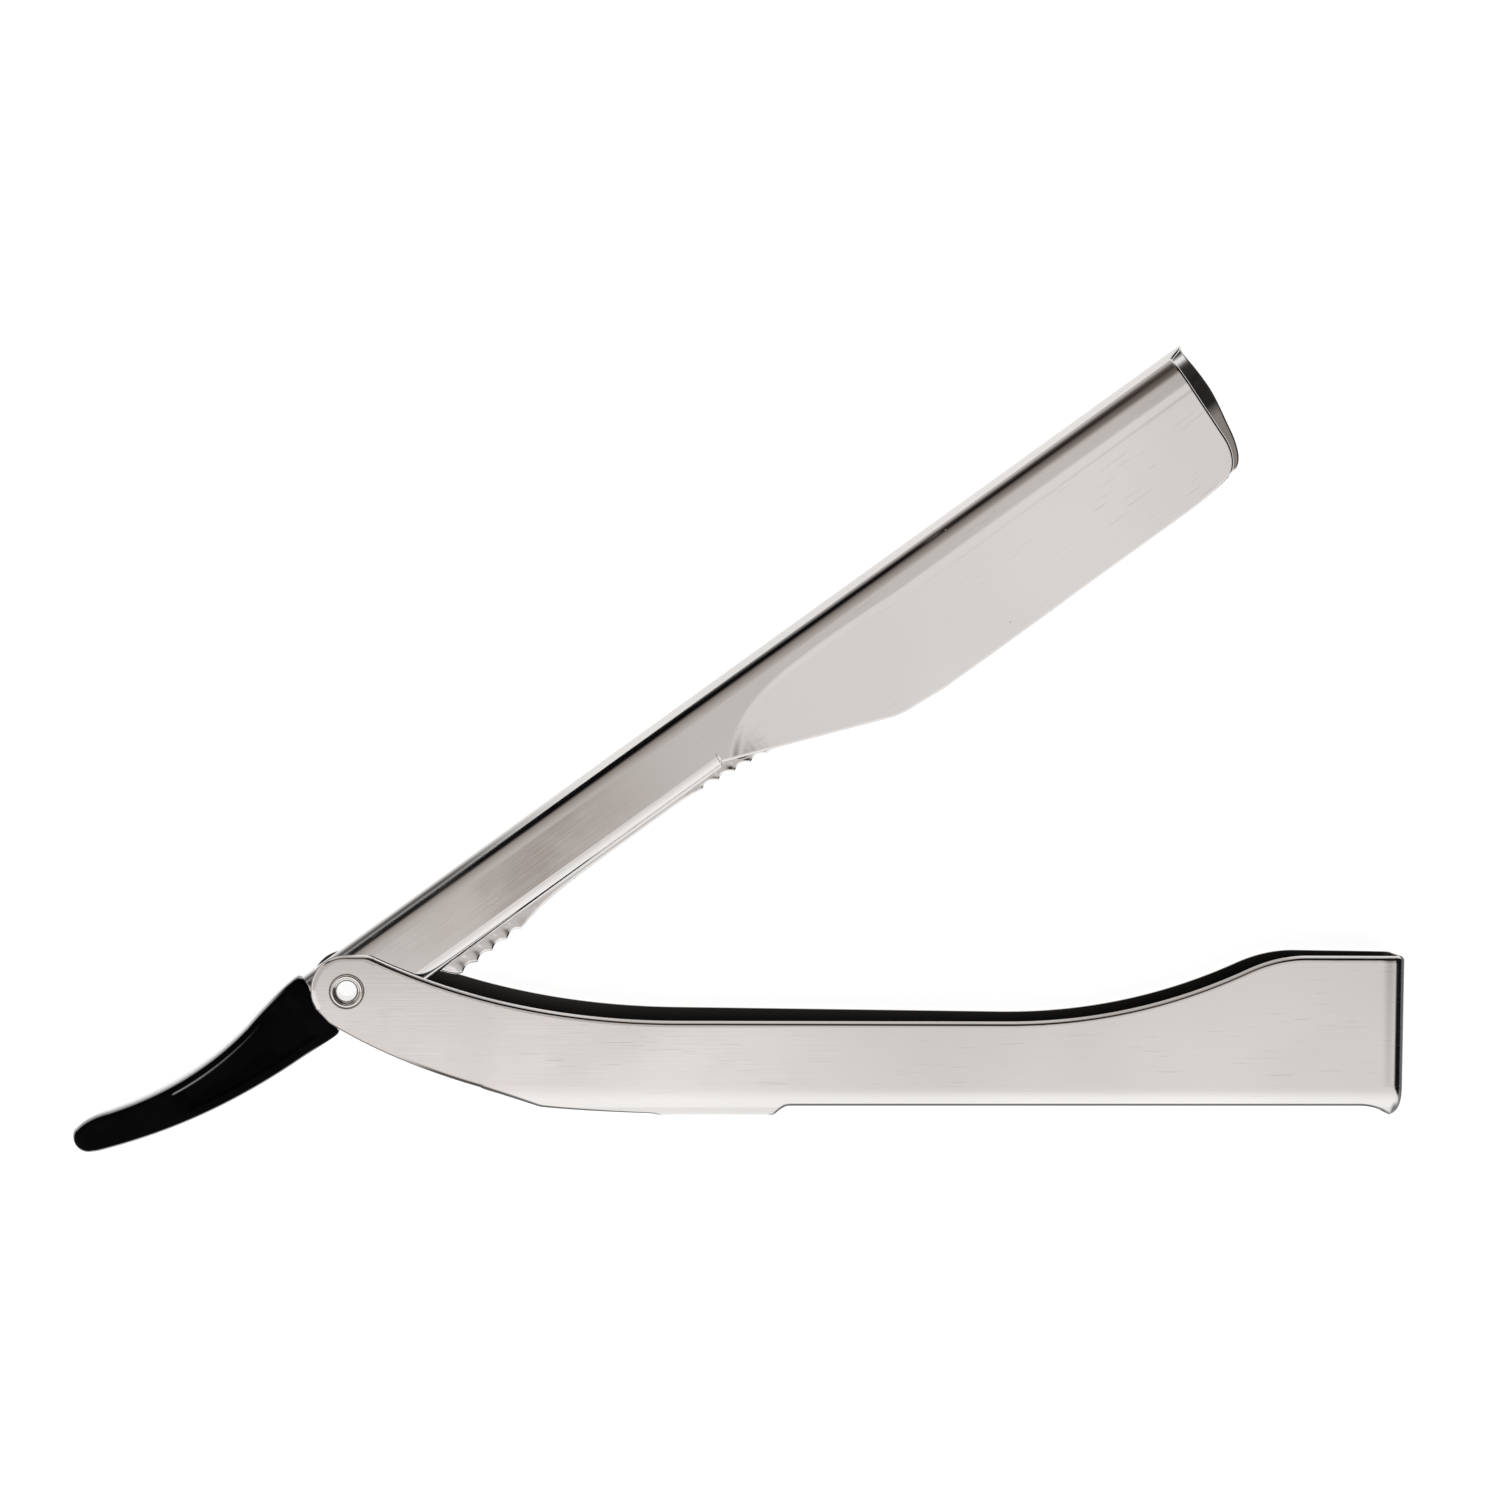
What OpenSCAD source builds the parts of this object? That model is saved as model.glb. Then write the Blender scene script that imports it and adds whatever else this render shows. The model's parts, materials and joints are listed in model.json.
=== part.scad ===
// Folding straight razor with an exchangeable-blade holder, all sheet steel with a plastic tail.
// Millimetres. X runs along the handle, Y is up its side and Z goes through both cheeks, from
// the rear one to the front one. The origin is the middle of the pivot, halfway between the
// cheeks. The holder is drawn in its own arm frame: s along the arm from the pivot, and t down
// from the spine towards the cutting side. rest_angle swings it open.

/* [Handle] */
// Distance from the pivot axis to the outside of the handle's closed end
handle_reach = 136.2; // [125:0.5:165]
// Width across the outsides of the two cheeks
handle_w = 8.0; // [7.4:0.1:12]
// Thickness of the handle's sheet
handle_sheet = 0.6; // [0.4:0.05:0.8]
// Depth of the folded bottom below the pivot axis
handle_depth = 16.1; // [15.8:0.1:22]
// Radius of the ear at the pivot
ear_r = 4.3; // [4:0.1:5.5]
// Height of the low part of the rim below the pivot axis
rim_drop = 3.65; // [2:0.05:5]
// Height of the rim at the closed end above the pivot axis
end_rise = 4.95; // [3:0.05:7]
// How much higher the rear rim stands, at its highest
rear_rim_rise = 1.4; // [0:0.1:2]
// Outer bend radius between the cheeks and the end wall
end_bend_r = 1.3; // [0.9:0.1:2]
// Width of the long slot in the folded bottom
slot_w = 6.4; // [4:0.1:6.6]
// Distance from the pivot axis to the start of the long slot
slot_start = 54.5; // [48:0.5:70]

/* [Pivot] */
// Radius of the hole through the hollow rivet
eyelet_bore_r = 1.25; // [1:0.05:1.5]
// Wall of the hollow rivet
eyelet_wall = 0.4; // [0.25:0.05:0.5]
// Radius of the rivet's rolled flanges
flange_r = 2.2; // [2:0.05:2.6]
// Thickness of the rivet's flanges
flange_t = 0.28; // [0.2:0.02:0.4]
// Wall of the bush that turns on the rivet
bush_wall = 0.6; // [0.4:0.05:0.8]
// Radial running clearance between the rivet and the bush
pivot_play = 0.05; // [0.02:0.01:0.1]
// Thickness of each friction washer
washer_t = 0.25; // [0.15:0.05:0.3]
// Outer radius of the friction washers
washer_r = 3.1; // [2.9:0.1:3.4]

/* [Holder] */
// Length of the holder from the pivot axis to the end of its front cheek
holder_len = 132.4; // [120:0.5:134]
// How much further the rear cheek reaches
rear_cheek_extra = 2.9; // [0:0.1:3]
// Width of the holder over its rounded spine
holder_w = 5.6; // [5.2:0.1:6]
// Thickness of the holder's sheet
holder_sheet = 0.5; // [0.4:0.05:0.6]
// Depth of the shank from the spine to its rolled lower edge
shank_depth = 9.5; // [9.2:0.1:10.4]
// Depth of the blade section from the spine to its lower edge
blade_depth = 18.1; // [17.2:0.1:18.6]
// Thickness over both cheeks at the lower edge of the blade section
edge_w = 2.1; // [1.9:0.1:2.8]
// Distance from the pivot axis to where the blade section begins
blade_start = 55.4; // [50:0.5:60]
// Depth of the spine line below which the blade section is pressed in
press_depth = 4.3; // [4:0.1:5]
// Height of the pivot axis below the spine
pivot_depth = 4.5; // [4.2:0.1:4.8]

/* [Carrier] */
// Thickness of the carrier's sheet
carrier_sheet = 0.35; // [0.25:0.05:0.4]
// Space between the carrier's two leaves
leaf_gap = 0.2; // [0.1:0.05:0.3]
// Clearance between the carrier and the holder
slide_play = 0.1; // [0.05:0.01:0.15]
// Pitch of the finger scallops
scallop_pitch = 2.35; // [2:0.05:2.8]
// Radius of the studs that locate the blade
stud_r = 0.7; // [0.5:0.05:0.9]

/* [Tail] */
// Distance from the pivot axis to the tip of the tail
tail_reach = 39.1; // [30:0.1:39.6]
// Thickness of the tail where it leaves the holder
tail_w = 5.0; // [4.2:0.1:5.2]
// Thickness of the tail near its tip
tail_tip_w = 2.4; // [1.6:0.1:2.8]
// Depth of the shallow panel in each side of the tail
tail_panel = 0.3; // [0.1:0.05:0.4]

/* [Pose] */
// Angle of the holder from closed as the razor is shown
rest_angle = 36.3; // [0:0.1:320]

/* [Hidden] */
$fn = 64;
eps = 0.01;
over = 1;
steel = "gainsboro";
steel_dark = "silver";
plastic = [0.06, 0.06, 0.07];

handle_half = handle_w / 2;
handle_in = handle_half - handle_sheet;
bend_y = -handle_depth + handle_half;
dish_r = flange_r + 0.5;
dish_depth = flange_t + 0.02;
pad_r = washer_r + 0.3;
holder_half = holder_w / 2;
cavity_half = holder_half - holder_sheet;
pad_h = handle_in - holder_half - washer_t - 0.1;
barrel_r = eyelet_bore_r + eyelet_wall;
bush_in_r = barrel_r + pivot_play;
bush_r = bush_in_r + bush_wall;
shell_back = -3.8;
shank_roll = 1.6;
back_depth = pivot_depth + 3.6;
shank_end = blade_start + 7;
lip_gap = leaf_gap / 2 + carrier_sheet + slide_play;
edge_half = edge_w / 2;
press_ramp = 1.8;
press_in = 0.7;
tail_slot_end_r = 1.75;
open_x = 16.9;
rim_corner = 0.5;
ear_x = -0.2;
tongue_end = 8.4;
rivet_mouth = 0.4;
press_ledge = 0.25;
edge_corner = 3;
stud_pitch = 18.5;
stud_depth = 12.1;
stud_stand = 0.3;
tongue_depth = shank_depth - shank_roll - 0.2;
carrier_start = 10.3;
carrier_end = holder_len - 1.7;
leaf_half = leaf_gap / 2 + carrier_sheet;

// ---- Curves -------------------------------------------------------------------------------
// Points on a circle from angle a to angle b
function arc(c, r, a, b, n = 12) =
    [for (i = [0:n]) c + r * [cos(a + (b - a) * i / n), sin(a + (b - a) * i / n)]];
// Points on a quadratic curve from p to r, pulled towards q
function curve(p, q, r, n = 12) =
    [for (i = [0:n]) let (k = i / n) (1 - k) * (1 - k) * p + 2 * k * (1 - k) * q + k * k * r];
function clamp01(v) = min(1, max(0, v));
function mirrored(pts) = [for (i = [len(pts) - 1:-1:0]) [pts[i][0], -pts[i][1]]];

// ---- Ways to extrude ----------------------------------------------------------------------
// A section in (y, z) carried along x
module along_x(x0, x1) {
    translate([x0, 0, 0]) rotate([90, 0, 90]) linear_extrude(x1 - x0) children();
}
// A plan in (x, z) carried along y
module along_y(y0, y1) {
    translate([0, y1, 0]) rotate([90, 0, 0]) linear_extrude(y1 - y0) children();
}
// An outline in (x, y) carried along z
module along_z(z0, z1) {
    translate([0, 0, z0]) linear_extrude(z1 - z0) children();
}

// The same thing on the front side and, mirrored, on the rear side
module both_sides() {
    children();
    mirror([0, 0, 1]) children();
}

// ---- Handle: one folded and stamped sheet --------------------------------------------------
// The rear rim stands higher than the front rim, most of all near the ear
function rim_rise(x) = rear_rim_rise * clamp01((x - 5) / 9) * clamp01(1 - (x - 14) / (handle_reach - 14));

// Side outline of a cheek, with the rim lifted by a share of the rear rise
module cheek_outline(lift) {
    low_end = handle_reach - 52;
    rim = concat(
        [[2.2, ear_r + 0.3]],
        curve([3.2, ear_r + 0.1], [20.8, -rim_drop], [42, -rim_drop]),
        curve([low_end, -rim_drop], [low_end + 16.3, -rim_drop], [low_end + 31, end_rise - 1.85]),
        curve([low_end + 31, end_rise - 1.85], [low_end + 34.7, end_rise - 0.1],
              [low_end + 38.5, end_rise]),
        arc([handle_reach - rim_corner, end_rise - rim_corner], rim_corner, 90, 0, 6)
    );
    lifted = [for (p = rim) p + [0, lift * rim_rise(p[0])]];
    polygon(concat(
        lifted,
        arc([handle_reach - 1, -handle_depth + 1], 1, 0, -90, 6),
        [[open_x, -handle_depth], [open_x, bend_y]],
        curve([open_x, bend_y], [6, bend_y + 3.1], [-2.2, -4]),
        arc([ear_x, 0], ear_r, 215, 180, 6),
        arc([ear_x, 0.3], ear_r, 180, 90, 12)
    ));
}

// U section: two flat cheeks and a half-round fold at the bottom
module fold_section(r) {
    polygon(concat(
        [[20, r], [bend_y, r]],
        arc([bend_y, 0], r, 90, 270, 24),
        [[bend_y, -r], [20, -r]]
    ));
}

// Plan of the trough, with bent corners at the closed end
module trough_plan(end_x, r, bend) {
    polygon(concat(
        [[-20, r]],
        arc([end_x - bend, r - bend], bend, 90, 0, 8),
        arc([end_x - bend, -r + bend], bend, 0, -90, 8),
        [[-20, -r]]
    ));
}

// Opening in the fold that lets the tail swing through, ending in a round
module tail_opening_plan() {
    x1 = tail_reach - 0.9;
    wide = handle_half + over;
    side = curve([open_x, handle_half], [27, 3.55], [x1, tail_slot_end_r]);
    polygon(concat(
        [[-20, wide], [open_x, wide]],
        side,
        arc([x1, 0], tail_slot_end_r, 80, -80, 12),
        mirrored(side),
        [[open_x, -wide], [-20, -wide]]
    ));
}

// Long slot with round ends in the fold
module long_slot_plan() {
    r = slot_w / 2;
    x0 = slot_start + r;
    x1 = handle_reach - 1.2 - r;
    polygon(concat(arc([x0, 0], r, 90, 270, 16), arc([x1, 0], r, -90, 90, 16)));
}

// A dish pressed into the front cheek round the pivot: its recess outside, its pad inside
module dish_recess() {
    translate([0, 0, handle_half - dish_depth])
        cylinder(h = dish_depth + eps, r1 = flange_r + 0.15, r2 = dish_r);
}

module dish_pad() {
    translate([0, 0, handle_in - pad_h]) cylinder(h = pad_h, r = pad_r);
}

module handle_blank() {
    intersection() {
        union() {
            along_z(0, handle_half) cheek_outline(0);
            along_z(-handle_half, 0) cheek_outline(1);
        }
        along_x(-20, handle_reach + over) fold_section(handle_half);
        along_y(-handle_depth - over, 20) trough_plan(handle_reach, handle_half, end_bend_r);
    }
}

module handle_hollow() {
    end = handle_reach - handle_sheet;
    intersection() {
        along_x(-20, handle_reach) fold_section(handle_in);
        along_y(-handle_depth, 20) trough_plan(end, handle_in, end_bend_r - handle_sheet);
    }
}

module handle_shell() {
    color(steel) difference() {
        union() {
            difference() {
                handle_blank();
                handle_hollow();
                along_y(-handle_depth - over, bend_y) tail_opening_plan();
                along_y(-handle_depth - over, bend_y) long_slot_plan();
            }
            both_sides() dish_pad();
        }
        both_sides() dish_recess();
        translate([0, 0, -handle_w]) cylinder(h = 2 * handle_w, r = barrel_r);
    }
}

// ---- Pivot --------------------------------------------------------------------------------
// Hollow rivet: a tube with a flange and a flared mouth at each end
module pivot_rivet() {
    top = handle_half - dish_depth + flange_t;
    color(steel_dark) difference() {
        union() {
            translate([0, 0, -top]) cylinder(h = 2 * top, r = barrel_r);
            both_sides() translate([0, 0, top - flange_t]) cylinder(h = flange_t, r = flange_r);
        }
        translate([0, 0, -handle_w]) cylinder(h = 2 * handle_w, r = eyelet_bore_r);
        both_sides() translate([0, 0, top - rivet_mouth + eps])
            cylinder(h = rivet_mouth, r1 = eyelet_bore_r, r2 = eyelet_bore_r + rivet_mouth);
    }
}

module front_washer() {
    color(steel_dark) translate([0, 0, handle_in - pad_h - washer_t]) difference() {
        cylinder(h = washer_t, r = washer_r);
        translate([0, 0, -over]) cylinder(h = washer_t + 2 * over, r = barrel_r + 0.1);
    }
}

module rear_washer() {
    mirror([0, 0, 1]) front_washer();
}

// Bush pressed through the tail's tongue and both holder cheeks
module pivot_bush() {
    color(steel_dark) arm() translate([0, 0, -holder_half]) difference() {
        cylinder(h = holder_w, r = bush_r);
        translate([0, 0, -over]) cylinder(h = holder_w + 2 * over, r = bush_in_r);
    }
}

// ---- Holder: one folded sheet, a tube-like shank and a wedge for the blade -----------------
module arm() {
    rotate([0, 0, rest_angle]) children();
}

function at(s, t) = [s, pivot_depth - t];

// Round-backed section from the spine down to depth t1, in (y, z)
module spine_section(r, t_centre, t1) {
    y0 = pivot_depth - t_centre;
    y1 = pivot_depth - t1;
    polygon(concat(arc([y0, 0], r, -90, 90, 24), [[y1, r], [y1, -r]]));
}

// Section of the shank or its hollow: a round spine, and lower edges rolled inwards
module rolled_section(half, depth, roll) {
    y0 = pivot_depth - holder_half;
    y1 = pivot_depth - depth;
    polygon(concat(
        arc([y0, 0], half, -90, 90, 24),
        arc([y1 + roll, half - roll], roll, 90, 180, 8),
        arc([y1 + roll, roll - half], roll, 180, 270, 8)
    ));
}

// Hollow of the shank: a channel with a slit between the rolled edges
module shank_hollow() {
    y1 = pivot_depth - shank_depth + holder_sheet;
    rolled_section(cavity_half, shank_depth - holder_sheet, shank_roll - holder_sheet);
    translate([y1 - blade_depth, -lip_gap]) square([blade_depth + over, 2 * lip_gap]);
}

// Side outline of the shell, from its square back end to its open far end
module shell_outline() {
    slant_end = blade_start + 21.9;
    end = holder_len + rear_cheek_extra;
    polygon(concat(
        [at(shell_back, -over), at(shell_back, back_depth), at(5.2, back_depth + 0.3)],
        curve(at(5.2, back_depth + 0.3), at(6.6, shank_depth + eps), at(9, shank_depth + eps), 6),
        [at(blade_start + 1.2, shank_depth + eps)],
        curve(at(slant_end - 1.2, blade_depth - 1.1), at(slant_end + 0.1, blade_depth - 0.6),
              at(slant_end + 1.6, blade_depth - 0.5), 6),
        [at(slant_end + 8, blade_depth), at(end - 7, blade_depth)],
        curve(at(end - 7, blade_depth), at(end - 2.0, blade_depth), at(end - 1.5, blade_depth - edge_corner), 8),
        [at(end - 0.3, 9), at(end, 6), at(end - 0.6, -over)]
    ));
}

// Area below the pressed line, grown towards the spine by up
function pressed_area(up) = concat(
    curve(at(blade_start - 2 - up, 13), at(blade_start + 4 - up, 3.4 - up),
          at(blade_start + 17, press_depth - 0.55 - up), 12),
    curve(at(blade_start + 17, press_depth - 0.55 - up), at(blade_start + 23, press_depth - 0.5 - up),
          at(blade_start + 31, press_depth - up), 6),
    [at(holder_len + 20, press_depth - up), at(holder_len + 20, 25), at(blade_start - 2 - up, 25)]
);

// What the press takes off one side: a ledge, then a slope down to the edge
module press_side(up, wall) {
    y_ramp = pivot_depth - press_depth - press_ramp + up;
    y_edge = pivot_depth - blade_depth;
    z_ramp = holder_half - press_in - wall;
    z_edge = edge_half - wall;
    fall = (z_ramp - z_edge) / (y_ramp - y_edge);
    intersection() {
        along_z(-10, 10) polygon(pressed_area(up));
        along_x(blade_start - 10, holder_len + 20) polygon([
            [pivot_depth, holder_half - press_ledge - wall], [y_ramp, z_ramp],
            [y_edge - 5, z_edge - 5 * fall], [y_edge - 5, 10], [pivot_depth, 10]
        ]);
    }
}

// Solid block of the blade section before it is hollowed, or its hollow
module blade_body(half, x0, x1, up, wall) {
    difference() {
        along_x(x0, x1) spine_section(half, holder_half, blade_depth + 2);
        both_sides() press_side(up, wall);
    }
}

module holder_shell() {
    end = holder_len + rear_cheek_extra;
    color(steel) arm() difference() {
        intersection() {
            union() {
                along_x(shell_back, shank_end) rolled_section(holder_half, shank_depth, shank_roll);
                blade_body(holder_half, blade_start - 1.5, end, 0, 0);
            }
            along_z(-10, 10) shell_outline();
        }
        along_x(shell_back - over, shank_end) shank_hollow();
        intersection() {
            blade_body(cavity_half, blade_start, end + over, holder_sheet, holder_sheet);
            along_z(-10, 10) polygon([
                at(blade_start, -over), at(blade_start, shank_depth - holder_sheet),
                at(blade_start + 2, 30), at(end + over, 30), at(end + over, -over)
            ]);
        }
        along_z(0, 10) translate(at(holder_len, 25)) square([20, 40]);
        translate([0, 0, -10]) cylinder(h = 20, r = bush_r);
    }
}

// ---- Tail: a moulded plastic piece with a tongue inside the shank ---------------------------
module tail_outline() {
    k = tail_reach / 39.1;
    back = shell_back;
    top = pivot_depth + 0.45;
    polygon(concat(
        [[back, top - 0.3], [back - 0.5, top]],
        curve([back - 0.7, top], [-8.6, top - 0.2], [-12.8, top - 1.3], 8),
        curve([-12.8, top - 1.3], [-22.5 * k, 1.75], [-33.2 * k, 5.1 * k], 10),
        curve([-33.2 * k, 5.1 * k], [-36 * k, 6.2 * k], [-37.9 * k, 5.7 * k], 6),
        arc([-37.1 * k, 3.95 * k], 2 * k, 115, 250, 8),
        curve([-37.2 * k, 1.75 * k], [-24 * k, -3.5], [-9, -3.75], 12),
        [[back - 1, -3.95], at(back, back_depth + 0.1)]
    ));
}

// Thickness of the tail seen from above: slim and round at the tip
module tail_plan() {
    k = tail_reach / 39.1;
    half = tail_w / 2;
    tip = tail_tip_w / 2;
    side = curve([-22 * k, half], [-31 * k, half], [-37.8 * k, tip], 8);
    polygon(concat(
        [[shell_back, half]],
        side,
        arc([-37.8 * k, 0], tip, 90, 270, 8),
        mirrored(side),
        [[shell_back, -half]]
    ));
}

// Shallow panel that follows the upper edge of the tail
module tail_panel_outline() {
    k = tail_reach / 39.1;
    polygon(concat(
        curve([-6.4, 2.9], [-16 * k, 1.3], [-25 * k, 1.2 * k], 8),
        curve([-25 * k, 0.6 * k], [-17 * k, -2.2], [-6.4, -2.4], 8)
    ));
}

module tail() {
    half = tail_w / 2;
    color(plastic) arm() difference() {
        union() {
            intersection() {
                along_z(-half, half) tail_outline();
                along_y(-15, 15) tail_plan();
            }
            intersection() {
                along_x(shell_back - eps, tongue_end)
                    spine_section(cavity_half - 0.05, holder_half, tongue_depth);
                along_z(-10, 10) polygon([
                    at(shell_back - over, 0), at(shell_back - over, tongue_depth),
                    at(tongue_end + over, tongue_depth), at(tongue_end + over, 0)
                ]);
            }
        }
        both_sides() along_z(half - tail_panel, half + over) tail_panel_outline();
        translate([0, 0, -10]) cylinder(h = 20, r = bush_r);
    }
}

// ---- Carrier: a folded sheet that grips the blade and slides out of the holder --------------
// Lower edge with scallops from s0, n of them, along a base line from t0 to t1
function scallops(s0, n, t0, t1, deep = 0.5) = [
    for (i = [0:n - 1], j = [0:5])
        let (k = j / 6, f = (i + k) / n)
        at(s0 + (i + k) * scallop_pitch, t0 + (t1 - t0) * f - deep * sin(180 * k))
];

module leaf_outline() {
    grip1 = 13;
    grip2 = grip1 + 38.4;
    n1 = 4;
    n2 = 4;
    end1 = grip1 + n1 * scallop_pitch;
    end2 = grip2 + n2 * scallop_pitch;
    low = blade_depth - 0.8;
    waist = shank_depth + 0.6;
    deep = waist + 1.4;
    polygon(concat(
        [at(carrier_start + 1.5, 0)],
        curve(at(carrier_start, 5), at(carrier_start, deep - 0.1), at(grip1, deep), 8),
        scallops(grip1, n1, deep, deep - 0.2),
        curve(at(end1, deep - 0.2), at(end1 + 3.5, waist), at(end1 + 12, waist), 8),
        curve(at(grip2 - 4, waist), at(grip2 - 2, waist + 0.05), at(grip2, waist + 0.3), 4),
        scallops(grip2, n2, waist + 0.3, deep),
        [at(end2 + 0.6, deep - 0.1)],
        [at(blade_start + 23.5, low), at(carrier_end - 2, low)],
        arc(at(carrier_end - 2, low - 2), 2, -90, 0, 6),
        [at(carrier_end, 0)]
    ));
}

// Key-hole section: a bead under the spine and two leaves hanging from it, in (y, z)
module carrier_section() {
    bead = cavity_half - 0.5;
    centre = pivot_depth - holder_sheet - slide_play - bead;
    hang = sqrt(bead * bead - leaf_half * leaf_half) - 0.1;
    difference() {
        union() {
            translate([centre, 0]) circle(bead);
            translate([centre - hang - 20, -leaf_half]) square([20, 2 * leaf_half]);
        }
        translate([centre, 0]) circle(bead - carrier_sheet);
        translate([centre - hang - 30, -leaf_gap / 2]) square([30, leaf_gap]);
    }
}

module blade_carrier() {
    color(steel_dark) arm() difference() {
        intersection() {
            along_x(carrier_start, carrier_end) carrier_section();
            along_z(-10, 10) leaf_outline();
        }
        for (i = [0:2]) translate(stud_place(i)) translate([0, 0, -10]) cylinder(h = 20, r = stud_r);
    }
}

// Studs through both leaves, in the middle and near both ends of the blade
function stud_place(i) = at(carrier_end - 45 + stud_pitch * i, stud_depth);

module stud(i) {
    half = leaf_half + stud_stand;
    color(steel_dark) arm() translate(stud_place(i)) translate([0, 0, -half])
        cylinder(h = 2 * half, r = stud_r);
}

module stud_near() { stud(0); }
module stud_middle() { stud(1); }
module stud_far() { stud(2); }

handle_shell();
pivot_rivet();
front_washer();
rear_washer();
holder_shell();
pivot_bush();
tail();
blade_carrier();
stud_near();
stud_middle();
stud_far();
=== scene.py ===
"""Builds the looks of a folding straight razor around its packed frame.

Sheet pieces are drawn on a flat development of the blank, as a sheet-metal worker would, and
folded by a formula. Sizes inside the functions are in millimetres; properties are in metres.
Handle pieces use the frame's X, Y and Z. Holder pieces use the arm's s (along), t (down from the
spine) and z.
"""
import json
import math

import bmesh
import bpy
import numpy as np
from bpy.props import FloatProperty, FloatVectorProperty, PointerProperty
from mathutils import Matrix, Vector


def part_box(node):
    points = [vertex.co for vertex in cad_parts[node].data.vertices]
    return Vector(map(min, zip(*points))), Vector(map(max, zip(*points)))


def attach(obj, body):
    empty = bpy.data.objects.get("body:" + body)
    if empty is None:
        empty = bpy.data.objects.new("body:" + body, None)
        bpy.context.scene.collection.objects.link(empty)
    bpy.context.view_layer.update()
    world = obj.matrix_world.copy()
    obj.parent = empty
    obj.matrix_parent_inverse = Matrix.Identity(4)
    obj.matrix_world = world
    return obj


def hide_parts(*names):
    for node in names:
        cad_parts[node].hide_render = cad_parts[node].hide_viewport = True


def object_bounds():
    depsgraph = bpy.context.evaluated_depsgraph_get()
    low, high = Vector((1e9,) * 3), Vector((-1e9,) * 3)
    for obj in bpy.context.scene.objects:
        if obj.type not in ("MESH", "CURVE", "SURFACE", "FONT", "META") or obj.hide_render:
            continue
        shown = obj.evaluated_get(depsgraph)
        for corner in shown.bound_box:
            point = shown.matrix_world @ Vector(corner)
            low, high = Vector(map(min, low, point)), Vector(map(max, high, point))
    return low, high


bl_info = {
    "name": "Straight razor",
    "version": (1, 0, 0),
    "blender": (4, 5, 0),
    "location": "View3D > Sidebar > Razor",
    "description": "Builds a folding straight razor piece by piece",
    "category": "Add Mesh",
}

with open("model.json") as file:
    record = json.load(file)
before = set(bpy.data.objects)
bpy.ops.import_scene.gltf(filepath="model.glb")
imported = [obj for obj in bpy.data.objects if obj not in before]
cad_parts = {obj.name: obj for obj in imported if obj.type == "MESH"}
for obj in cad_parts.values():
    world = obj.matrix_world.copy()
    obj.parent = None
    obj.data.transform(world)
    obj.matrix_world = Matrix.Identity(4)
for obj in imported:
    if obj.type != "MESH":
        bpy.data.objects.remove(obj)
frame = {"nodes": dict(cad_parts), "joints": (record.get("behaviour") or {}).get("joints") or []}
CAD_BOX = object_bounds()
MM = 0.001
WELD = 1e-6
BUSH_HOLE = 2.3
SLIDE_AXIS = next(j["axis"] for j in frame["joints"] if j["name"] == "carrier_slide")
ARM_ANGLE = math.atan2(SLIDE_AXIS[1], SLIDE_AXIS[0])


def corner(node, high):
    """Lowest or highest corner of a CAD node, in millimetres."""
    return np.array(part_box(node)[1 if high else 0]) / MM


HANDLE_HIGH = corner("handle_shell", True)
HANDLE_LOW = corner("handle_shell", False)
HOLDER_HIGH = corner("holder_shell", True)


def length(name, text, default):
    """A length property in metres, from nothing to 20 cm."""
    return FloatProperty(
        name=name, description=text, default=default, min=0.0, max=0.2, unit="LENGTH", precision=5
    )


def colour(name, text, default):
    """A colour property."""
    return FloatVectorProperty(
        name=name, description=text, default=default, size=3, min=0.0, max=1.0, subtype="COLOR"
    )


# ---- Settings -------------------------------------------------------------------------------
class RazorHandleSettings(bpy.types.PropertyGroup):
    """Sizes of the folded handle."""

    sheet: length("Sheet", "Thickness of the handle's sheet", 0.0006)
    ear: length("Ear", "Radius of the ear at the pivot", 0.0043)
    rim_drop: length("Rim drop", "How far the low rim lies below the pivot", 0.00365)
    end_rise: length("End rise", "Height of the rim at the closed end", 0.00495)
    rear_rise: length("Rear rise", "How much higher the rear rim stands at most", 0.0014)
    end_bend: length("End bend", "Middle radius of the bend at the closed end", 0.00125)
    rim_bevel: length("Rim bevel", "Width of the slope polished along the rim", 0.00023)
    rim_round: length("Rim round", "Width of the rounding that leads up to the slope", 0.00034)
    slot_start: length("Slot start", "Distance from the pivot to the long slot", 0.0545)
    slot_half: length("Slot half", "Half the slot's width, measured round the fold", 0.00332)
    tail_gap_end: length("Tail gap end", "Where the opening for the tail starts its round end", 0.0382)
    dish_depth: length("Dish depth", "Depth of the dish round the rivet", 0.0003)


class RazorPivotSettings(bpy.types.PropertyGroup):
    """Sizes of the hollow rivet."""

    bore: length("Bore", "Radius of the hole through the rivet", 0.00125)
    flange: length("Flange", "Radius of the rolled flange", 0.0021)
    wall: length("Wall", "Wall of the barrel", 0.0004)


class RazorHolderSettings(bpy.types.PropertyGroup):
    """Sizes of the folded blade holder."""

    sheet: length("Sheet", "Thickness of the holder's sheet", 0.0005)
    reach: length("Reach", "Distance from the pivot to the end of the front cheek", 0.1324)
    rear_extra: length("Rear extra", "How much further the rear cheek reaches", 0.0028)
    pivot_depth: length("Pivot depth", "Depth of the pivot below the spine", 0.0045)
    shank_depth: length("Shank depth", "Depth of the shank", 0.0095)
    shank_roll: length("Shank roll", "Outer radius of the shank's rolled lower edges", 0.0016)
    blade_depth: length("Blade depth", "Depth of the blade section", 0.0181)
    blade_start: length("Blade start", "Distance from the pivot to the blade section", 0.0554)
    edge_width: length("Edge width", "Width over both cheeks at the lower edge", 0.0021)
    press_in: length("Press", "Depth of the pressed hollow at its step", 0.00017)
    rim_round: length("Edge round", "Width of the rounding along the cut edges", 0.0003)


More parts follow.
